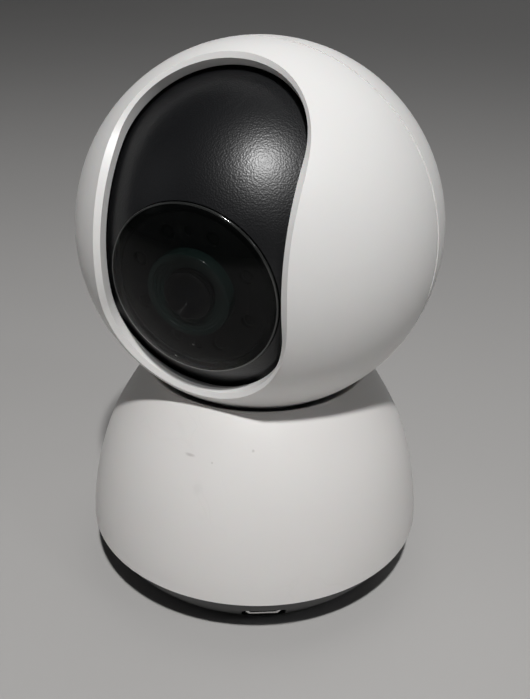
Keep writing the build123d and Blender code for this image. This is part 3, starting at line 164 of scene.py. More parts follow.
class EffectLibrary:
    """Builds each shared effect once and hands out its node group."""

    MIDDLE: float = 0.5
    PIT_EDGES: Span = (0.1, 0.75)
    FINE_GRAIN: float = 1.7
    DRIFT_EDGES: Span = (0.42, 0.62)
    SCUFF_BEND_SCALE: float = 14.0
    SCUFF_BEND: Point = (0.02, 0.02, 0.02)
    SCUFF_TURNS: Tuple[Point, ...] = ((0.5, 0.2, 0.9), (-0.4, 1.1, 0.3))
    SCUFF_STRETCH: Point = (1.0, 0.04, 1.0)
    SCUFF_WIDTH: float = 0.012
    SCUFF_PATCH_SCALE: float = 45.0
    SCUFF_PATCH_EDGES: Span = (0.56, 0.7)
    RAG_SCALE: float = 1400.0
    RUB_EDGES: Span = (0.4, 1.1)
    TRACK_EDGES: Span = (0.05, 0.12)
    PAD_RADIUS: float = 0.16

    def __init__(self) -> None:
        """Start with no groups built."""
        self.built: Dict[Effect, bpy.types.NodeTree] = {}

    def get(self, effect: Effect) -> bpy.types.NodeTree:
        """Return the effect's node group, and build it the first time."""
        if effect not in self.built:
            self.built[effect] = getattr(self, "build_" + effect.value)()
        return self.built[effect]

    def start(self, effect: Effect, numbers: Dict[str, float], vectors: Dict[str, Point],
              outputs: Sequence[str]) -> Tuple[Graph, bpy.types.Node, bpy.types.Node, Socket]:
        """Begin a group with its sockets.

        Args:
            effect: Which effect the group is for.
            numbers: Number inputs and their usual values.
            vectors: Vector inputs and their usual values.
            outputs: Names of the number outputs.

        Returns:
            The graph, the input node, the output node, and the object coordinates.
        """
        tree = bpy.data.node_groups.new(effect.value, "ShaderNodeTree")
        graph = Graph(tree)
        for values, kind in ((numbers, "NodeSocketFloat"), (vectors, "NodeSocketVector")):
            for name, value in values.items():
                tree.interface.new_socket(name, in_out="INPUT", socket_type=kind).default_value = value
        for name in outputs:
            tree.interface.new_socket(name, in_out="OUTPUT", socket_type="NodeSocketFloat")
        given = graph.add("NodeGroupInput")
        result = graph.add("NodeGroupOutput")
        place = graph.add("ShaderNodeTexCoord").outputs["Object"]
        return graph, given, result, place

    def build_moulded_grain(self) -> bpy.types.NodeTree:
        """Build the texture of a spark-eroded mould: small round pits over finer noise."""
        graph, given, result, place = self.start(Effect.GRAIN, {"Scale": 2500.0, "Pits": 0.5}, {}, ["Height"])
        scale = given.outputs["Scale"]
        cells = graph.add("ShaderNodeTexVoronoi", {"Vector": place, "Scale": scale}, feature="SMOOTH_F1")
        pits = graph.ramp(cells.outputs["Distance"], *self.PIT_EDGES)
        fine = graph.noise(place, graph.math("MULTIPLY", scale, self.FINE_GRAIN), detail=3.0, roughness=0.6)
        pitted = graph.math("MULTIPLY", pits, given.outputs["Pits"])
        smooth = graph.math("MULTIPLY", fine, graph.math("SUBTRACT", 1.0, given.outputs["Pits"]))
        graph.feed(result.inputs["Height"], graph.math("ADD", pitted, smooth))
        return graph.tree

    def build_tone_drift(self) -> bpy.types.NodeTree:
        """Build slow changes of tone, as one moulding has from flow, age and handling."""
        numbers = {"Scale": 25.0, "Amount": 0.04}
        graph, given, result, place = self.start(Effect.DRIFT, numbers, {}, ["Tone", "Mask"])
        slow = graph.noise(place, given.outputs["Scale"], detail=3.0, roughness=0.55)
        centred = graph.math("SUBTRACT", slow, self.MIDDLE)
        tone = graph.math("MULTIPLY_ADD", centred, given.outputs["Amount"], 1.0)
        graph.feed(result.inputs["Tone"], tone)
        graph.feed(result.inputs["Mask"], graph.ramp(slow, *self.DRIFT_EDGES))
        return graph.tree

    def build_hair_scuffs(self) -> bpy.types.NodeTree:
        """Build thin scratches: narrow bands of a bent, stretched noise, kept only in a few patches."""
        graph, given, result, place = self.start(Effect.SCUFFS, {"Scale": 120.0, "Amount": 0.5}, {}, ["Mask"])
        bend_inputs = {"Vector": place, "Scale": self.SCUFF_BEND_SCALE, "Detail": 1.0}
        bend = graph.add("ShaderNodeTexNoise", bend_inputs).outputs["Color"]
        shifted = graph.vector("MULTIPLY_ADD", place, bend, self.SCUFF_BEND).outputs[0]
        marks: List[Socket] = []
        for turn in self.SCUFF_TURNS:
            inputs = {"Vector": shifted, "Rotation": turn, "Scale": self.SCUFF_STRETCH}
            lines = graph.add("ShaderNodeMapping", inputs).outputs[0]
            value = graph.noise(lines, given.outputs["Scale"], detail=2.0)
            off_line = graph.math("ABSOLUTE", graph.math("SUBTRACT", value, self.MIDDLE))
            marks.append(graph.ramp(off_line, 0.0, self.SCUFF_WIDTH, 1.0, 0.0))
        both = graph.math("MAXIMUM", marks[0], marks[1])
        patches = graph.ramp(graph.noise(place, self.SCUFF_PATCH_SCALE, detail=2.0), *self.SCUFF_PATCH_EDGES)
        kept = graph.math("MULTIPLY", both, patches)
        graph.feed(result.inputs["Mask"], graph.math("MULTIPLY", kept, given.outputs["Amount"]))
        return graph.tree

    def build_dust_specks(self) -> bpy.types.NodeTree:
        """Build scattered specks: the middles of a few cells of a cell pattern."""
        numbers = {"Scale": 260.0, "Share": 0.1, "Size": 0.12}
        graph, given, result, place = self.start(Effect.SPECKS, numbers, {}, ["Mask"])
        cells = graph.add("ShaderNodeTexVoronoi", {"Vector": place, "Scale": given.outputs["Scale"]})
        lot = graph.add("ShaderNodeSeparateColor", {0: cells.outputs["Color"]}).outputs[0]
        chosen = graph.math("LESS_THAN", lot, given.outputs["Share"])
        near = graph.math("LESS_THAN", cells.outputs["Distance"], given.outputs["Size"])
        graph.feed(result.inputs["Mask"], graph.math("MULTIPLY", chosen, near))
        return graph.tree

    def build_rubbed_spot(self) -> bpy.types.NodeTree:
        """Build one rubbed spot: a ragged patch about a centre, wider along one direction."""
        numbers = {"Radius": 0.003, "Ragged": 0.5}
        vectors = {"Centre": (0.0, 0.0, 0.0), "Squeeze": (1.0, 1.0, 1.0)}
        graph, given, result, place = self.start(Effect.RUB, numbers, vectors, ["Mask"])
        offset = graph.vector("SUBTRACT", place, given.outputs["Centre"]).outputs[0]
        shaped = graph.vector("MULTIPLY", offset, given.outputs["Squeeze"]).outputs[0]
        reach = graph.vector("LENGTH", shaped).outputs["Value"]
        share = graph.math("DIVIDE", reach, given.outputs["Radius"])
        uneven = graph.noise(place, self.RAG_SCALE, detail=4.0, roughness=0.7)
        rag = graph.math("MULTIPLY", uneven, given.outputs["Ragged"])
        ragged = graph.math("ADD", share, rag)
        graph.feed(result.inputs["Mask"], graph.ramp(ragged, *self.RUB_EDGES, 1.0, 0.0))
        return graph.tree

    def build_brushed_lines(self) -> bpy.types.NodeTree:
        """Build fine parallel lines, as on rolled or turned metal: noise stretched along one axis."""
        vectors = {"Stretch": (1.0, 1.0, 0.04)}
        graph, given, result, place = self.start(Effect.BRUSHING, {"Scale": 900.0}, vectors, ["Value"])
        drawn = graph.vector("MULTIPLY", place, given.outputs["Stretch"]).outputs[0]
        lines = graph.noise(drawn, given.outputs["Scale"], detail=4.0, roughness=0.65)
        graph.feed(result.inputs["Value"], lines)
        return graph.tree

    def build_copper_traces(self) -> bpy.types.NodeTree:
        """Build circuit tracks and pads under a solder mask: edges of square cells, and small dots."""
        graph, given, result, place = self.start(Effect.TRACES, {"Scale": 420.0}, {}, ["Tracks", "Pads"])
        inputs = {"Vector": place, "Scale": given.outputs["Scale"]}
        second, first = (graph.add("ShaderNodeTexVoronoi", inputs, distance="CHEBYCHEV", feature=feature)
                         for feature in ("F2", "F1"))
        gap = graph.math("SUBTRACT", second.outputs["Distance"], first.outputs["Distance"])
        graph.feed(result.inputs["Tracks"], graph.ramp(gap, *self.TRACK_EDGES, 1.0, 0.0))
        dots = graph.add("ShaderNodeTexVoronoi", inputs)
        graph.feed(result.inputs["Pads"], graph.math("LESS_THAN", dots.outputs["Distance"], self.PAD_RADIUS))
        return graph.tree


EFFECTS = EffectLibrary()


def place_effect(graph: Graph, effect: Effect, **values: object) -> bpy.types.Node:
    """Put a shared effect in a material.

    Args:
        graph: The material's graph.
        effect: Which effect.
        values: The group's inputs by name.

    Returns:
        The group node.
    """
    node = graph.add("ShaderNodeGroup", node_tree=EFFECTS.get(effect))
    for name, value in values.items():
        graph.feed(node.inputs[name], value)
    return node


# ---------------------------------------------------------------- finishes
@dataclass(frozen=True)
class Rub:
    """One rubbed or soiled spot at a place on a surface."""

    centre: Point
    radius: float
    squeeze: Point = (1.0, 1.0, 1.0)
    strength: float = 0.5


@dataclass(frozen=True)
class Plastic:
    """Moulded plastic or rubber: grain, tone drift, scuffs and dust."""

    name: str
    colour: Colour
    roughness: float = 0.45
    grain_scale: float = 2500.0
    grain_height: float = 0.00001
    pits: float = 0.4
    drift: float = 0.05
    scuffs: float = 0.3
    scuff_colour: Colour = (0.35, 0.33, 0.3)
    dust: float = 0.04
    dust_colour: Colour = (0.5, 0.48, 0.44)
    specular: float = 0.5
    coat: float = 0.0
    coat_roughness: float = 0.1
    sheen: float = 0.0
    subsurface: float = 0.0
    rubs: Tuple[Rub, ...] = ()
    DRIFT_SCALE: ClassVar[float] = 28.0
    DRIFT_GLOSS: ClassVar[float] = 0.06
    SCUFF_SCALE: ClassVar[float] = 160.0
    SCUFF_SHARE: ClassVar[float] = 0.35
    SCUFF_GLOSS: ClassVar[float] = 0.15
    SCUFF_DEPTH: ClassVar[float] = -0.3
    SPECK_SCALE: ClassVar[float] = 210.0
    SPECK_SIZE: ClassVar[float] = 0.075

    def make(self) -> bpy.types.Material:
        """Build the material.

        Returns:
            The material, ready to assign.
        """
        material, graph, shader = new_material(self.name)
        drift = place_effect(graph, Effect.DRIFT, Scale=self.DRIFT_SCALE, Amount=self.drift)
        scuffs = place_effect(graph, Effect.SCUFFS, Scale=self.SCUFF_SCALE,
                              Amount=self.scuffs).outputs["Mask"]
        specks = place_effect(graph, Effect.SPECKS, Scale=self.SPECK_SCALE, Share=self.dust,
                              Size=self.SPECK_SIZE).outputs["Mask"]
        toned = graph.mix(1.0, self.colour, drift.outputs["Tone"], blend="MULTIPLY")
        colour = graph.mix(graph.math("MULTIPLY", scuffs, self.SCUFF_SHARE), toned, self.scuff_colour)
        for rub in self.rubs:
            mark = place_effect(graph, Effect.RUB, Centre=rub.centre, Radius=rub.radius, Squeeze=rub.squeeze)
            share = graph.math("MULTIPLY", mark.outputs["Mask"], rub.strength)
            colour = graph.mix(share, colour, self.scuff_colour)
        colour = graph.mix(specks, colour, self.dust_colour)
        rough = graph.math("MULTIPLY_ADD", drift.outputs["Mask"], self.DRIFT_GLOSS, self.roughness)
        rough = graph.math("MULTIPLY_ADD", scuffs, self.SCUFF_GLOSS, rough, clamp=True)
        height = place_effect(graph, Effect.GRAIN, Scale=self.grain_scale, Pits=self.pits).outputs["Height"]
        worn = graph.math("MULTIPLY_ADD", scuffs, self.SCUFF_DEPTH, height)
        graph.feed(shader.inputs["Base Color"], colour)
        graph.feed(shader.inputs["Roughness"], rough)
        graph.feed(shader.inputs["Normal"], graph.bump(worn, self.grain_height))
        shader.inputs["Specular IOR Level"].default_value = self.specular
        shader.inputs["Coat Weight"].default_value = self.coat
        shader.inputs["Coat Roughness"].default_value = self.coat_roughness
        shader.inputs["Sheen Weight"].default_value = self.sheen
        shader.inputs["Subsurface Weight"].default_value = self.subsurface
        shader.inputs["Subsurface Scale"].default_value = MILLIMETRE
        return material


@dataclass(frozen=True)
class Metal:
    """Rolled, turned or plated metal: brushed lines, stains and fine grain."""

    name: str
    colour: Colour
    roughness: float = 0.3
    stretch: Point = (1.0, 1.0, 0.04)
    line_height: float = 0.000006
    stain: Colour = (0.25, 0.23, 0.21)
    LINE_SCALE: ClassVar[float] = 1600.0
    LINE_GLOSS: ClassVar[float] = 0.25
    DRIFT_SCALE: ClassVar[float] = 160.0
    DRIFT_AMOUNT: ClassVar[float] = 0.2
    STAIN_SHARE: ClassVar[float] = 0.15

    def make(self) -> bpy.types.Material:
        """Build the material.

        Returns:
            The material, ready to assign.
        """
        material, graph, shader = new_material(self.name)
        lines = place_effect(graph, Effect.BRUSHING, Scale=self.LINE_SCALE,
                             Stretch=self.stretch).outputs["Value"]
        drift = place_effect(graph, Effect.DRIFT, Scale=self.DRIFT_SCALE, Amount=self.DRIFT_AMOUNT)
        stained = graph.math("MULTIPLY", drift.outputs["Mask"], self.STAIN_SHARE)
        toned = graph.mix(1.0, self.colour, drift.outputs["Tone"], blend="MULTIPLY")
        graph.feed(shader.inputs["Base Color"], graph.mix(stained, toned, self.stain))
        centred = graph.math("SUBTRACT", lines, EffectLibrary.MIDDLE)
        rough = graph.math("MULTIPLY_ADD", centred, self.LINE_GLOSS, self.roughness, clamp=True)
        graph.feed(shader.inputs["Roughness"], rough)
        graph.feed(shader.inputs["Normal"], graph.bump(lines, self.line_height))
        shader.inputs["Metallic"].default_value = 1.0
        return material


@dataclass(frozen=True)
class Glazing:
    """Clear or smoked glass or plastic that shows what is behind it."""

    name: str
    colour: Colour
    opacity: float
    roughness: float = 0.03
    smear: float = 0.04
    coat: float = 1.0
    specular: float = 0.6
    dust_colour: Colour = (0.5, 0.5, 0.48)
    DRIFT_SCALE: ClassVar[float] = 60.0
    DRIFT_AMOUNT: ClassVar[float] = 0.3
    SPECK_SCALE: ClassVar[float] = 240.0
    SPECK_LOT: ClassVar[float] = 0.05
    SPECK_SIZE: ClassVar[float] = 0.07
    SPECK_SHARE: ClassVar[float] = 0.6
    WIPE_SCALE: ClassVar[float] = 200.0
    WIPE_AMOUNT: ClassVar[float] = 0.6
    WIPE_GLOSS: ClassVar[float] = 0.08
    RIPPLE: ClassVar[float] = 0.00002
    REFRACTION: ClassVar[float] = 1.5
    COAT_ROUGHNESS: ClassVar[float] = 0.02

    def make(self) -> bpy.types.Material:
        """Build the material.

        Returns:
            The material, ready to assign.
        """
        material, graph, shader = new_material(self.name)
        drift = place_effect(graph, Effect.DRIFT, Scale=self.DRIFT_SCALE, Amount=self.DRIFT_AMOUNT)
        specks = place_effect(graph, Effect.SPECKS, Scale=self.SPECK_SCALE, Share=self.SPECK_LOT,
                              Size=self.SPECK_SIZE).outputs["Mask"]
        wipes = place_effect(graph, Effect.SCUFFS, Scale=self.WIPE_SCALE,
                             Amount=self.WIPE_AMOUNT).outputs["Mask"]
        toned = graph.mix(1.0, self.colour, drift.outputs["Tone"], blend="MULTIPLY")
        dusty = graph.math("MULTIPLY", specks, self.SPECK_SHARE)
        graph.feed(shader.inputs["Base Color"], graph.mix(dusty, toned, self.dust_colour))
        rough = graph.math("MULTIPLY_ADD", drift.outputs["Mask"], self.smear, self.roughness)
        rough = graph.math("MULTIPLY_ADD", wipes, self.WIPE_GLOSS, rough, clamp=True)
        graph.feed(shader.inputs["Roughness"], rough)
        graph.feed(shader.inputs["Alpha"], graph.math("MAXIMUM", specks, self.opacity))
        graph.feed(shader.inputs["Normal"], graph.bump(drift.outputs["Tone"], self.RIPPLE))
        shader.inputs["IOR"].default_value = self.REFRACTION
        shader.inputs["Specular IOR Level"].default_value = self.specular
        shader.inputs["Coat Weight"].default_value = self.coat
        shader.inputs["Coat Roughness"].default_value = self.COAT_ROUGHNESS
        return material


@dataclass(frozen=True)
class CircuitBoard:
    """Glass-fibre board with tracks and tinned pads under a green solder mask."""

    name: str
    mask: Colour = (0.012, 0.09, 0.045)
    track: Colour = (0.03, 0.19, 0.09)
    tin: Colour = (0.6, 0.58, 0.52)
    TRACK_SCALE: ClassVar[float] = 430.0
    DRIFT_SCALE: ClassVar[float] = 120.0
    DRIFT_AMOUNT: ClassVar[float] = 0.15
    DRIFT_GLOSS: ClassVar[float] = 0.1
    ROUGHNESS: ClassVar[float] = 0.3
    TRACK_HEIGHT: ClassVar[float] = 0.00003

    def make(self) -> bpy.types.Material:
        """Build the material.

        Returns:
            The material, ready to assign.
        """
        material, graph, shader = new_material(self.name)
        traces = place_effect(graph, Effect.TRACES, Scale=self.TRACK_SCALE)
        drift = place_effect(graph, Effect.DRIFT, Scale=self.DRIFT_SCALE, Amount=self.DRIFT_AMOUNT)
        green = graph.mix(traces.outputs["Tracks"], self.mask, self.track)
        toned = graph.mix(1.0, green, drift.outputs["Tone"], blend="MULTIPLY")
        graph.feed(shader.inputs["Base Color"], graph.mix(traces.outputs["Pads"], toned, self.tin))
        graph.feed(shader.inputs["Metallic"], traces.outputs["Pads"])
        rough = graph.math("MULTIPLY_ADD", drift.outputs["Mask"], self.DRIFT_GLOSS, self.ROUGHNESS)
        graph.feed(shader.inputs["Roughness"], rough)
        raised = graph.math("ADD", traces.outputs["Tracks"], traces.outputs["Pads"])
        graph.feed(shader.inputs["Normal"], graph.bump(raised, self.TRACK_HEIGHT))
        return material


@dataclass(frozen=True)
class Floor:
    """Pale matt floor with a faint mottle."""

    name: str
    colour: Colour
    DRIFT_SCALE: ClassVar[float] = 6.0
    DRIFT_AMOUNT: ClassVar[float] = 0.03
    DRIFT_GLOSS: ClassVar[float] = 0.05
    ROUGHNESS: ClassVar[float] = 0.7
    SPECULAR: ClassVar[float] = 0.2

    def make(self) -> bpy.types.Material:
        """Build the material.

        Returns:
            The material, ready to assign.
        """
        material, graph, shader = new_material(self.name)
        drift = place_effect(graph, Effect.DRIFT, Scale=self.DRIFT_SCALE, Amount=self.DRIFT_AMOUNT)
        toned = graph.mix(1.0, self.colour, drift.outputs["Tone"], blend="MULTIPLY")
        graph.feed(shader.inputs["Base Color"], toned)
        rough = graph.math("MULTIPLY_ADD", drift.outputs["Mask"], self.DRIFT_GLOSS, self.ROUGHNESS)
        graph.feed(shader.inputs["Roughness"], rough)
        shader.inputs["Specular IOR Level"].default_value = self.SPECULAR
        return material


def new_material(name: str) -> Tuple[bpy.types.Material, Graph, bpy.types.Node]:
    """Start a material with one Principled shader.

    Args:
        name: The material's name.

    Returns:
        The material, its graph and the shader node.
    """
    material = bpy.data.materials.new(name + "_finish")
    material.use_nodes = True
    graph = Graph(material.node_tree)
    shader = graph.add("ShaderNodeBsdfPrincipled")
    graph.add("ShaderNodeOutputMaterial", {"Surface": shader.outputs["BSDF"]})
    return material, graph, shader


class Finishes:
    """Every finish of the camera, each built once."""

    WHITE_HEAD = Plastic("white_head", (0.80, 0.79, 0.775), roughness=0.4, grain_scale=2600.0,
                         grain_height=0.000004, drift=0.03, scuffs=0.1, dust=0.03,
                         dust_colour=(0.45, 0.43, 0.4), scuff_colour=(0.55, 0.53, 0.5), subsurface=0.05)
    WHITE_BASE = Plastic("white_base", (0.775, 0.755, 0.735), roughness=0.44, grain_scale=2600.0,
                         grain_height=0.000005, drift=0.04, scuffs=0.12, dust=0.05,
                         dust_colour=(0.42, 0.4, 0.37), scuff_colour=(0.42, 0.4, 0.38), subsurface=0.05,
                         rubs=(Rub((-0.0012, -0.0307, 0.0399), 0.0011, (0.6, 1.0, 2.2), 0.55),
                               Rub((0.0113, -0.0270, 0.0422), 0.0005, (1.0, 1.0, 1.0), 0.5),
                               Rub((0.0039, -0.0307, 0.0394), 0.0004, (1.0, 1.0, 1.0), 0.5),
                               Rub((0.0019, -0.0336, 0.0343), 0.0016, (1.0, 1.0, 0.7), 0.1)))
    DARK_FOOT = Plastic("dark_foot", (0.018, 0.019, 0.0185), roughness=0.42, grain_height=0.00001,
                        drift=0.12, scuffs=0.5, scuff_colour=(0.16, 0.16, 0.15))
    RUBBER = Plastic("rubber_pad", (0.018, 0.018, 0.018), roughness=0.8, grain_scale=1800.0,
                     grain_height=0.00003, drift=0.2, dust=0.25, specular=0.3)
    BALL_BLACK = Plastic("ball_black", (0.006, 0.0062, 0.007), roughness=0.34, grain_scale=3300.0,
                         grain_height=0.00002, pits=0.8, drift=0.1, scuffs=0.2,
                         scuff_colour=(0.05, 0.05, 0.05), dust=0.05, dust_colour=(0.2, 0.2, 0.2))
    BLACK_INSERT = Plastic("black_insert", (0.006, 0.006, 0.0065), roughness=0.6, grain_height=0.00002)
    TUBE_BLACK = Plastic("tube_black", (0.012, 0.012, 0.013), roughness=0.2, grain_height=0.000004,
                         scuffs=0.1, dust=0.02, coat=1.0)
    GREY_FRAME = Plastic("grey_frame", (0.16, 0.16, 0.17), roughness=0.55, grain_height=0.00002)
    BEARING = Plastic("bearing_white", (0.72, 0.7, 0.62), roughness=0.35, grain_height=0.00001,
                      subsurface=0.1)
    BUTTON = Plastic("button_black", (0.03, 0.03, 0.032), roughness=0.38)
    RING_TINT = Plastic("ring_tint", (0.045, 0.095, 0.083), roughness=0.2, grain_height=0.000003, coat=0.6,
                        scuffs=0.1, dust=0.02)
    LAMP = Plastic("lamp_clear", (0.006, 0.005, 0.0055), roughness=0.3, grain_height=0.000002, specular=0.3)
    PAPER = Plastic("speaker_paper", (0.035, 0.034, 0.033), roughness=0.9, grain_scale=1500.0,
                    grain_height=0.00004, sheen=0.3, dust=0.2)
    SCREW = Metal("screw_steel", (0.55, 0.55, 0.56), roughness=0.32, stretch=(1.0, 1.0, 1.0))
    SOCKET = Metal("socket_metal", (0.75, 0.75, 0.74), roughness=0.24, stretch=(1.0, 1.0, 0.05))
    CAN = Metal("motor_can", (0.62, 0.62, 0.61), roughness=0.3, stretch=(1.0, 1.0, 0.05))
    MAGNET = Metal("magnet_metal", (0.4, 0.4, 0.41), roughness=0.38, stretch=(1.0, 1.0, 1.0))
    MICROPHONE = Metal("microphone_metal", (0.72, 0.7, 0.6), roughness=0.28, stretch=(1.0, 0.1, 1.0))
    BOARD = CircuitBoard("board_green")
    WINDOW = Glazing("window_smoke", (0.002, 0.0024, 0.0022), opacity=0.48, roughness=0.02, smear=0.02,
                     coat=0.0, specular=0.22)
    WINDOW_EDGE = Plastic("window_edge", (0.02, 0.021, 0.02), roughness=0.14, grain_height=0.000001, coat=1.0,
                          scuffs=0.1, dust=0.01)
    LENS = Glazing("lens_clear", (0.01, 0.012, 0.03), opacity=0.55, roughness=0.01, smear=0.0)

    def __init__(self) -> None:
        """Start with no material built."""
        self.made: Dict[str, bpy.types.Material] = {}

    def get(self, finish: object) -> bpy.types.Material:
        """Return a finish's material, and build it the first time."""
        if finish.name not in self.made:
            self.made[finish.name] = finish.make()
        return self.made[finish.name]


FINISHES = Finishes()


def dress(node: str, finish: object) -> None:
    """Give a CAD node's every material slot one finish.

    Args:
        node: The node's name.
        finish: One of the finishes.
    """
    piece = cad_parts[node]
    material = FINISHES.get(finish)
    if not piece.material_slots:
        piece.data.materials.append(material)
    for slot in piece.material_slots:
        slot.material = material
    LOG.info("%s is finished in %s", node, finish.name)


# ---------------------------------------------------------------- meshes
def ring_faces(rings: int, sides: int, start: int, closed: bool = False) -> np.ndarray:
    """Join neighbouring rings of points by four-sided faces, closed around.

    Args:
        rings: How many rings.
        sides: Points in a ring.
        start: Number of the first ring's first point.
        closed: Whether the last ring joins the first.

    Returns:
        The faces as rows of four point numbers.
    """
    row, column = np.meshgrid(np.arange(rings if closed else rings - 1), np.arange(sides), indexing="ij")
    following = (column + 1) % sides
    inner, outer = start + row * sides, start + (row + 1) % rings * sides
    return np.stack([inner + column, outer + column, outer + following, inner + following], -1).reshape(-1, 4)


def fan_faces(pole: int, start: int, sides: int, flip: bool = False) -> np.ndarray:
    """Close a ring of points to one point by triangles.

    Args:
        pole: Number of the single point.
        start: Number of the ring's first point.
        sides: Points in the ring.
        flip: Whether the faces turn the other way.

    Returns:
        The faces as rows of three point numbers.
    """
    column = np.arange(sides)
    following = (column + 1) % sides
    pair = (start + following, start + column) if flip else (start + column, start + following)
    return np.stack([np.full(sides, pole), *pair], -1)


def mesh_piece(name: str, points: np.ndarray, *faces: np.ndarray) -> bpy.types.Object:
    """Make an object from points and faces.

    Args:
        name: The object's name.
        points: Rows of X, Y and Z.
        faces: Arrays of point numbers, each with rows of one length.

    Returns:
        The new object, at the origin.
    """
    mesh = bpy.data.meshes.new(name)
    mesh.from_pydata(points.tolist(), [], [row for block in faces for row in block.tolist()])
    mesh.polygons.foreach_set("use_smooth", np.ones(len(mesh.polygons), bool))
    mesh.update()
    piece = bpy.data.objects.new(name, mesh)
    bpy.context.scene.collection.objects.link(piece)
    return piece


# ---------------------------------------------------------------- turned pieces
def rounded(corners: Sequence[Tuple[float, float, float]], steps: int = 5) -> np.ndarray:
    """Round the corners of a closed profile.

    Each corner becomes points of a bent line: (1-t)^2 * start + 2t(1-t) * corner + t^2 * end, where start
    and end lie on the profile's two sides, the round's size away from the corner.

    Args:
        corners: Radius and place along the axis of each corner, and the size of its round, in millimetres.
        steps: Points to a round.

    Returns:
        The profile as rows of radius and place along the axis.
    """
    spots = np.array([corner[:2] for corner in corners])
    sizes = np.array([corner[2] for corner in corners])[:, None]
    before = np.roll(spots, 1, axis=0) - spots
    after = np.roll(spots, -1, axis=0) - spots
    start = spots + before / np.linalg.norm(before, axis=1, keepdims=True) * sizes
    end = spots + after / np.linalg.norm(after, axis=1, keepdims=True) * sizes
    share = np.linspace(0.0, 1.0, steps)[None, :, None]
    bent = ((1 - share) ** 2 * start[:, None] + 2 * share * (1 - share) * spots[:, None]
            + share ** 2 * end[:, None])
    return bent.reshape(-1, 2)


@dataclass(frozen=True)
class LensAxis:
    """The line through the ball's centre that the window and the lens are turned around."""

    centre: Point = (0.0, 0.0, 0.0795)
    tip: float = 6.5
    sides: int = 144
    sharp_angle: float = 40.0

    def turn(self, name: str, profile: np.ndarray) -> bpy.types.Object:
        """Turn a closed profile around the axis.

        A point is centre + along * ahead + radius * (cos(angle) * right + sin(angle) * up). The first and
        the last rows of a profile that starts and ends on the axis are single points.

        Args:
            name: The piece's name.
            profile: Rows of radius and place along the axis, in millimetres, from front to back.

        Returns:
            The piece.
        """
        tip = math.radians(self.tip)
        ahead = np.array([0.0, -math.cos(tip), -math.sin(tip)])
        right = np.array([1.0, 0.0, 0.0])
        up = np.cross(right, -ahead)
        angle = np.linspace(0.0, 2.0 * math.pi, self.sides, endpoint=False)
        spokes = np.outer(np.cos(angle), right) + np.outer(np.sin(angle), up)
        radius, along = profile[:, :1, None] * MILLIMETRE, profile[:, 1:, None] * MILLIMETRE
        rings = np.array(self.centre) + along * ahead + radius * spokes
        if profile[0, 0] > 0.0:
            points, faces = rings.reshape(-1, 3), [ring_faces(len(profile), self.sides, 0, closed=True)]
        else:
            points = np.vstack([rings[0, :1], rings[-1, :1], rings[1:-1].reshape(-1, 3)])
            last = 2 + (len(profile) - 3) * self.sides
            faces = [ring_faces(len(profile) - 2, self.sides, 2), fan_faces(0, 2, self.sides),
                     fan_faces(1, last, self.sides, flip=True)]
        piece = mesh_piece(name, points, *faces)
        piece.data.set_sharp_from_angle(angle=math.radians(self.sharp_angle))
        return piece


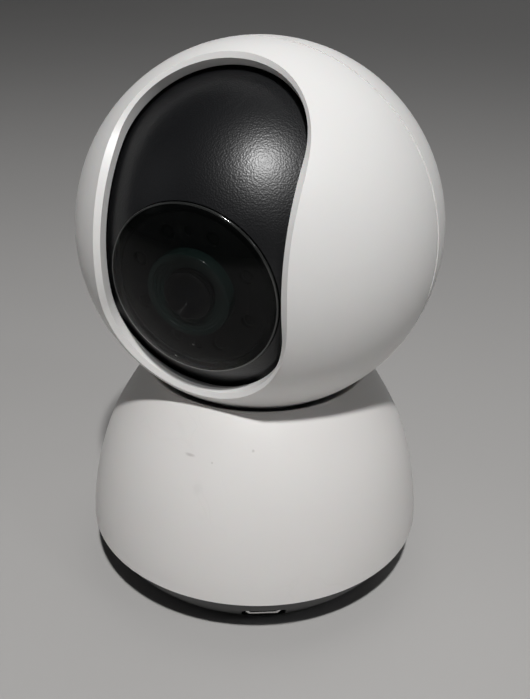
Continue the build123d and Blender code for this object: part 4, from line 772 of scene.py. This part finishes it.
@dataclass
class Optics:
    """Sizes of the window, the tinted ring, the lens tube and the front lens, in millimetres."""

    axis: LensAxis = LensAxis()
    dome_steps: int = 48
    window_outer: float = 35.25
    window_thickness: float = 1.2
    window_radius: float = 17.3
    rim_round: float = 0.32
    rim_start: float = 62.0
    rim_steps: int = 8
    ring_radius: float = 8.42
    ring_bore: float = 4.95
    ring_front: float = 32.8
    ring_back: float = 29.8
    ring_lip: float = 1.1
    ring_lip_round: float = 0.3
    ring_depth: float = 1.5
    ring_steps: int = 4
    step_round: float = 0.12
    back_round: float = 0.1
    tube_radius: float = 4.78
    tube_front: float = 33.0
    tube_shoulder: float = 28.6
    tube_back: float = 23.0
    tube_tail_radius: float = 4.18
    tube_lip: float = 0.45
    tube_lip_round: float = 0.15
    tube_round: float = 0.05
    tube_steps: int = 3
    seat_round: float = 0.02
    lens_clearance: float = 0.04
    lens_radius: float = 3.58
    lens_bend: float = 7.2
    lens_front: float = 32.26
    lens_back: float = 30.82
    lens_round: float = 0.08
    lens_steps: int = 24
    bore: float = 1.8

    def dome(self, bend: float, top: float, reach: float, steps: int) -> np.ndarray:
        """Return a domed profile, from the axis outwards: along = top - bend + sqrt(bend^2 - radius^2)."""
        radius = np.linspace(0.0, reach, steps)
        return np.stack([radius, top - bend + np.sqrt(bend ** 2 - radius ** 2)], axis=-1)

    def window(self) -> bpy.types.Object:
        """Make the domed window: two domes about one centre, joined by a rim with a rolled outer edge."""
        outer, inner = self.window_outer, self.window_outer - self.window_thickness
        front = self.dome(outer, outer, self.window_radius - self.rim_round, self.dome_steps)
        back = self.dome(inner, inner, self.window_radius, self.dome_steps)[::-1]
        turn = np.linspace(math.radians(self.rim_start), 0.0, self.rim_steps)[1:, None]
        rim = np.hstack([self.window_radius - self.rim_round * (1.0 - np.cos(turn)),
                         front[-1, 1] - self.rim_round * (1.0 - np.sin(turn))])
        piece = self.axis.turn("smoked_window", np.vstack([front, rim, back]))
        row = np.arange(len(piece.data.polygons)) // self.axis.sides
        on_rim = (row >= len(front) - 2) & (row < len(front) + len(rim) - 2)
        piece.data.materials.append(FINISHES.get(Finishes.WINDOW))
        piece.data.materials.append(FINISHES.get(Finishes.WINDOW_EDGE))
        piece.data.polygons.foreach_set("material_index", on_rim.astype(np.int32))
        return piece

    def ring(self) -> bpy.types.Object:
        """Make the tinted ring: a flat rounded lip, then rounded steps that lead down to the lens tube."""
        inside = np.linspace(self.ring_radius - self.ring_lip, self.ring_bore, self.ring_steps + 1)
        depth = np.linspace(self.ring_front, self.ring_front - self.ring_depth, self.ring_steps + 1)
        corners = [(self.ring_radius, self.ring_back, self.back_round),
                   (self.ring_radius, self.ring_front, self.ring_lip_round)]
        for step in range(self.ring_steps):
            corners.append((inside[step], depth[step], self.step_round))
            corners.append((inside[step], depth[step + 1], self.step_round))
        corners.append((self.ring_bore, depth[-1], self.step_round))
        corners.append((self.ring_bore, self.ring_back, self.back_round))
        return self.axis.turn("tinted_ring", rounded(corners)[::-1])

    def tube(self) -> bpy.types.Object:
        """Make the lens tube: a rounded front lip, three fine steps down to the lens, and a narrower tail."""
        seat = self.lens_radius + self.lens_clearance
        floor = self.lens_back - self.seat_round
        inside = np.linspace(self.tube_radius - self.tube_lip, seat, self.tube_steps + 1)
        depth = np.linspace(self.tube_front, self.lens_front, self.tube_steps + 1)
        corners = [(self.tube_tail_radius, self.tube_back, self.tube_round),
                   (self.tube_tail_radius, self.tube_shoulder, self.tube_round),
                   (self.tube_radius, self.tube_shoulder, self.tube_round),
                   (self.tube_radius, self.tube_front, self.tube_lip_round)]
        for step in range(self.tube_steps):
            corners.append((inside[step], depth[step], self.tube_round))
            corners.append((inside[step], depth[step + 1], self.tube_round))
        corners.append((seat, depth[-1], self.seat_round))
        corners.append((seat, floor, self.tube_round))
        corners.append((self.bore, floor, self.tube_round))
        corners.append((self.bore, self.tube_back, self.tube_round))
        return self.axis.turn("lens_tube", rounded(corners, steps=4)[::-1])

    def lens(self) -> bpy.types.Object:
        """Make the front lens: a domed face, a narrow bevelled edge and a flat back."""
        reach = self.lens_radius - self.lens_round
        front = self.dome(self.lens_bend, self.lens_front, reach, self.lens_steps)
        edge = np.array([[self.lens_radius, front[-1, 1] - self.lens_round],
                         [self.lens_radius, self.lens_back + self.lens_round],
                         [reach, self.lens_back], [0.0, self.lens_back]])
        return self.axis.turn("front_lens", np.vstack([front, edge]))


# ---------------------------------------------------------------- sub-assemblies
@dataclass
class SubAssembly:
    """A set of nodes that are dressed together."""

    coats: Dict[str, object] = field(default_factory=dict)

    def dress(self) -> None:
        """Give each node its finish."""
        for node, finish in self.coats.items():
            dress(node, finish)

    def build(self) -> None:
        """Make the sub-assembly's own pieces. The plain one has none."""

    def run(self) -> None:
        """Build and dress."""
        self.build()
        self.dress()
        LOG.info("%s is done", type(self).__name__)


@dataclass
class Base(SubAssembly):
    """Bell, foot, charging socket and the frame that carries the head."""

    coats: Dict[str, object] = field(default_factory=lambda: {
        "base_shell": Finishes.WHITE_BASE,
        "base_cover": Finishes.DARK_FOOT,
        "foot_ring": Finishes.RUBBER,
        "base_screws": Finishes.SCREW,
        "usb_board": Finishes.BOARD,
        "usb_board_screws": Finishes.SCREW,
        "usb_socket": Finishes.SOCKET,
        "usb_tongue": Finishes.BLACK_INSERT,
        "pan_frame": Finishes.GREY_FRAME,
        "pan_frame_screws": Finishes.SCREW,
        "pan_bush": Finishes.BEARING,
        "thrust_washer": Finishes.BEARING,
        "pan_motor": Finishes.CAN,
        "pan_motor_screws": Finishes.SCREW,
        "pan_pinion": Finishes.BEARING,
    })


@dataclass
class Head(SubAssembly):
    """Round head: two shells, neck, tilt bearings and motor, loudspeaker and antenna."""

    coats: Dict[str, object] = field(default_factory=lambda: {
        "head_front_shell": Finishes.WHITE_HEAD,
        "head_rear_shell": Finishes.WHITE_HEAD,
        "pan_gear": Finishes.BEARING,
        "neck": Finishes.GREY_FRAME,
        "neck_screws": Finishes.SCREW,
        "retaining_ring": Finishes.SOCKET,
        "tilt_bracket_left": Finishes.GREY_FRAME,
        "tilt_bracket_right": Finishes.GREY_FRAME,
        "bracket_screws": Finishes.SCREW,
        "tilt_bushes": Finishes.BEARING,
        "tilt_motor": Finishes.CAN,
        "tilt_motor_screws": Finishes.SCREW,
        "tilt_pinion": Finishes.BEARING,
        "speaker_basket": Finishes.BLACK_INSERT,
        "speaker_cone": Finishes.PAPER,
        "speaker_magnet": Finishes.MAGNET,
        "wifi_antenna": Finishes.BOARD,
    })


@dataclass
class CameraBall(SubAssembly):
    """Tilting ball: shells, window, lens, lamps and the main board."""

    optics: Optics = field(default_factory=Optics)
    coats: Dict[str, object] = field(default_factory=lambda: {
        "ball_front_shell": Finishes.BALL_BLACK,
        "ball_rear_cover": Finishes.BALL_BLACK,
        "ball_screws": Finishes.SCREW,
        "window": Finishes.WINDOW,
        "lens_shroud": Finishes.BLACK_INSERT,
        "lens_ring": Finishes.RING_TINT,
        "lens_barrel": Finishes.BLACK_INSERT,
        "lens_glass": Finishes.LENS,
        "lens_holder": Finishes.BLACK_INSERT,
        "image_sensor": Finishes.MICROPHONE,
        "led_board": Finishes.BOARD,
        "infrared_leds": Finishes.LAMP,
        "status_led": Finishes.LAMP,
        "light_sensor": Finishes.LAMP,
        "main_board": Finishes.BOARD,
        "board_screws": Finishes.SCREW,
        "processor_shield": Finishes.SOCKET,
        "card_socket": Finishes.SOCKET,
        "microphone": Finishes.MICROPHONE,
        "reset_switch": Finishes.BUTTON,
        "reset_button": Finishes.BUTTON,
        "tilt_gear": Finishes.BEARING,
    })

    def build(self) -> None:
        """Turn the window and the lens pieces, which ride on the ball and stand for their CAD nodes."""
        for make, node, slot, finish in (
                (self.optics.window, "window", "window_smoke", Finishes.WINDOW),
                (self.optics.ring, "lens_ring", "ring_tint", Finishes.RING_TINT),
                (self.optics.tube, "lens_barrel", "black_insert", Finishes.TUBE_BLACK),
                (self.optics.lens, "lens_glass", "lens_clear", Finishes.LENS)):
            piece = make()
            if not piece.data.materials:
                piece.data.materials.append(FINISHES.get(finish))
            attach(piece, "ball")
            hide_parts(node)
            LOG.info("%s stands for %s", piece.name, node)


# ---------------------------------------------------------------- studio
@dataclass(frozen=True)
class SoftLamp:
    """A round area light aimed at a point."""

    name: str
    azimuth: float
    elevation: float
    distance: float
    diameter: float
    watts: float
    colour: Colour = (1.0, 1.0, 1.0)
    aim: Point = (0.0, 0.0, 0.06)

    def make(self) -> bpy.types.Object:
        """Place the lamp, with azimuth 0 in front of the object and 90 on its +X side.

        Returns:
            The lamp's object.
        """
        data = bpy.data.lights.new(self.name, "AREA")
        data.shape = "DISK"
        data.size = self.diameter
        data.energy = self.watts
        data.color = self.colour
        lamp = bpy.data.objects.new(self.name, data)
        turn, rise = math.radians(self.azimuth), math.radians(self.elevation)
        out = Vector((math.sin(turn) * math.cos(rise), -math.cos(turn) * math.cos(rise), math.sin(rise)))
        lamp.location = Vector(self.aim) + out * self.distance
        lamp.rotation_euler = out.to_track_quat("Z", "Y").to_euler()
        bpy.context.scene.collection.objects.link(lamp)
        LOG.info("%s lights the object", self.name)
        return lamp


@dataclass(frozen=True)
class Studio:
    """Pale floor, soft lamps and the camera."""

    floor_radius: float = 2.8
    floor_rings: int = 24
    floor_sides: int = 64
    floor_colour: Colour = (0.46, 0.45, 0.44)
    world_colour: Colour = (0.85, 0.88, 0.92)
    world_strength: float = 0.03
    backdrop_strength: float = 0.35
    camera_position: Point = (0.06914, -0.15712, 0.13454)
    camera_aim: Point = (0.00175, 0.0, 0.05097)
    camera_roll: float = 1.37
    sensor: float = 36.0
    lens: float = 43.18
    lamps: Tuple[SoftLamp, ...] = (
        SoftLamp("key_lamp", 27.0, 59.0, 0.75, 0.04, 4.9),
        SoftLamp("fill_lamp", -60.0, 25.0, 1.6, 0.9, 0.35, (0.95, 0.97, 1.0)),
        SoftLamp("side_lamp", 80.0, 40.0, 1.6, 0.2, 0.7, (0.93, 0.96, 1.0)),
        SoftLamp("overhead_lamp", 180.0, 60.0, 2.6, 3.5, 12.0, aim=(0.0, 1.0, 0.0)),
    )

    def floor(self) -> bpy.types.Object:
        """Make a round floor: rings of points whose radius grows with the square of their number.

        Returns:
            The floor's object.
        """
        ring = (np.arange(1, self.floor_rings + 1) / self.floor_rings) ** 2 * self.floor_radius
        turn = np.linspace(0.0, 2.0 * math.pi, self.floor_sides, endpoint=False)
        grid = np.stack([np.outer(ring, np.cos(turn)), np.outer(ring, np.sin(turn)),
                         np.zeros((self.floor_rings, self.floor_sides))], axis=-1)
        points = np.vstack([np.zeros((1, 3)), grid.reshape(-1, 3)])
        piece = mesh_piece("floor", points, ring_faces(self.floor_rings, self.floor_sides, 1),
                           fan_faces(0, 1, self.floor_sides))
        piece.data.materials.append(FINISHES.get(Floor("pale_floor", self.floor_colour)))
        return piece

    def camera(self) -> bpy.types.Object:
        """Place the camera by its position, the point that it looks at, and its roll.

        Returns:
            The camera's object.
        """
        data = bpy.data.cameras.new("view_camera")
        data.sensor_width = self.sensor
        data.lens = self.lens
        data.clip_start = 0.005
        camera = bpy.data.objects.new("view_camera", data)
        ahead = (Vector(self.camera_aim) - Vector(self.camera_position)).normalized()
        level = ahead.cross(Vector((0.0, 0.0, 1.0))).normalized()
        upright = level.cross(ahead)
        roll = math.radians(self.camera_roll)
        right = level * math.cos(roll) + upright * math.sin(roll)
        up = upright * math.cos(roll) - level * math.sin(roll)
        turn = Matrix((right, up, -ahead)).transposed()
        camera.matrix_world = Matrix.Translation(self.camera_position) @ turn.to_4x4()
        bpy.context.scene.collection.objects.link(camera)
        bpy.context.scene.camera = camera
        return camera

    def world(self) -> None:
        """Light everything a little from all round, and show a pale backdrop above the floor."""
        world = bpy.data.worlds.new("soft_room")
        world.use_nodes = True
        graph = Graph(world.node_tree)
        seen = graph.add("ShaderNodeLightPath").outputs["Is Camera Ray"]
        strength = graph.ramp(seen, 0.0, 1.0, self.world_strength, self.backdrop_strength)
        back = graph.add("ShaderNodeBackground", {"Color": self.world_colour, "Strength": strength})
        graph.add("ShaderNodeOutputWorld", {"Surface": back.outputs[0]})
        bpy.context.scene.world = world

    def run(self) -> None:
        """Set the studio up."""
        self.camera()
        self.floor()
        self.world()
        for lamp in self.lamps:
            lamp.make()
        bpy.context.scene.view_settings.view_transform = "Standard"


# ---------------------------------------------------------------- everything
def main() -> None:
    """Set up the studio, then build and dress each sub-assembly."""
    logging.basicConfig(level=logging.INFO, format="%(levelname)s %(name)s: %(message)s")
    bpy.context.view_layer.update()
    Studio().run()
    assemblies: List[SubAssembly] = [Base(), Head(), CameraBall()]
    for assembly in assemblies:
        assembly.run()


if __name__ == "__main__":
    main()
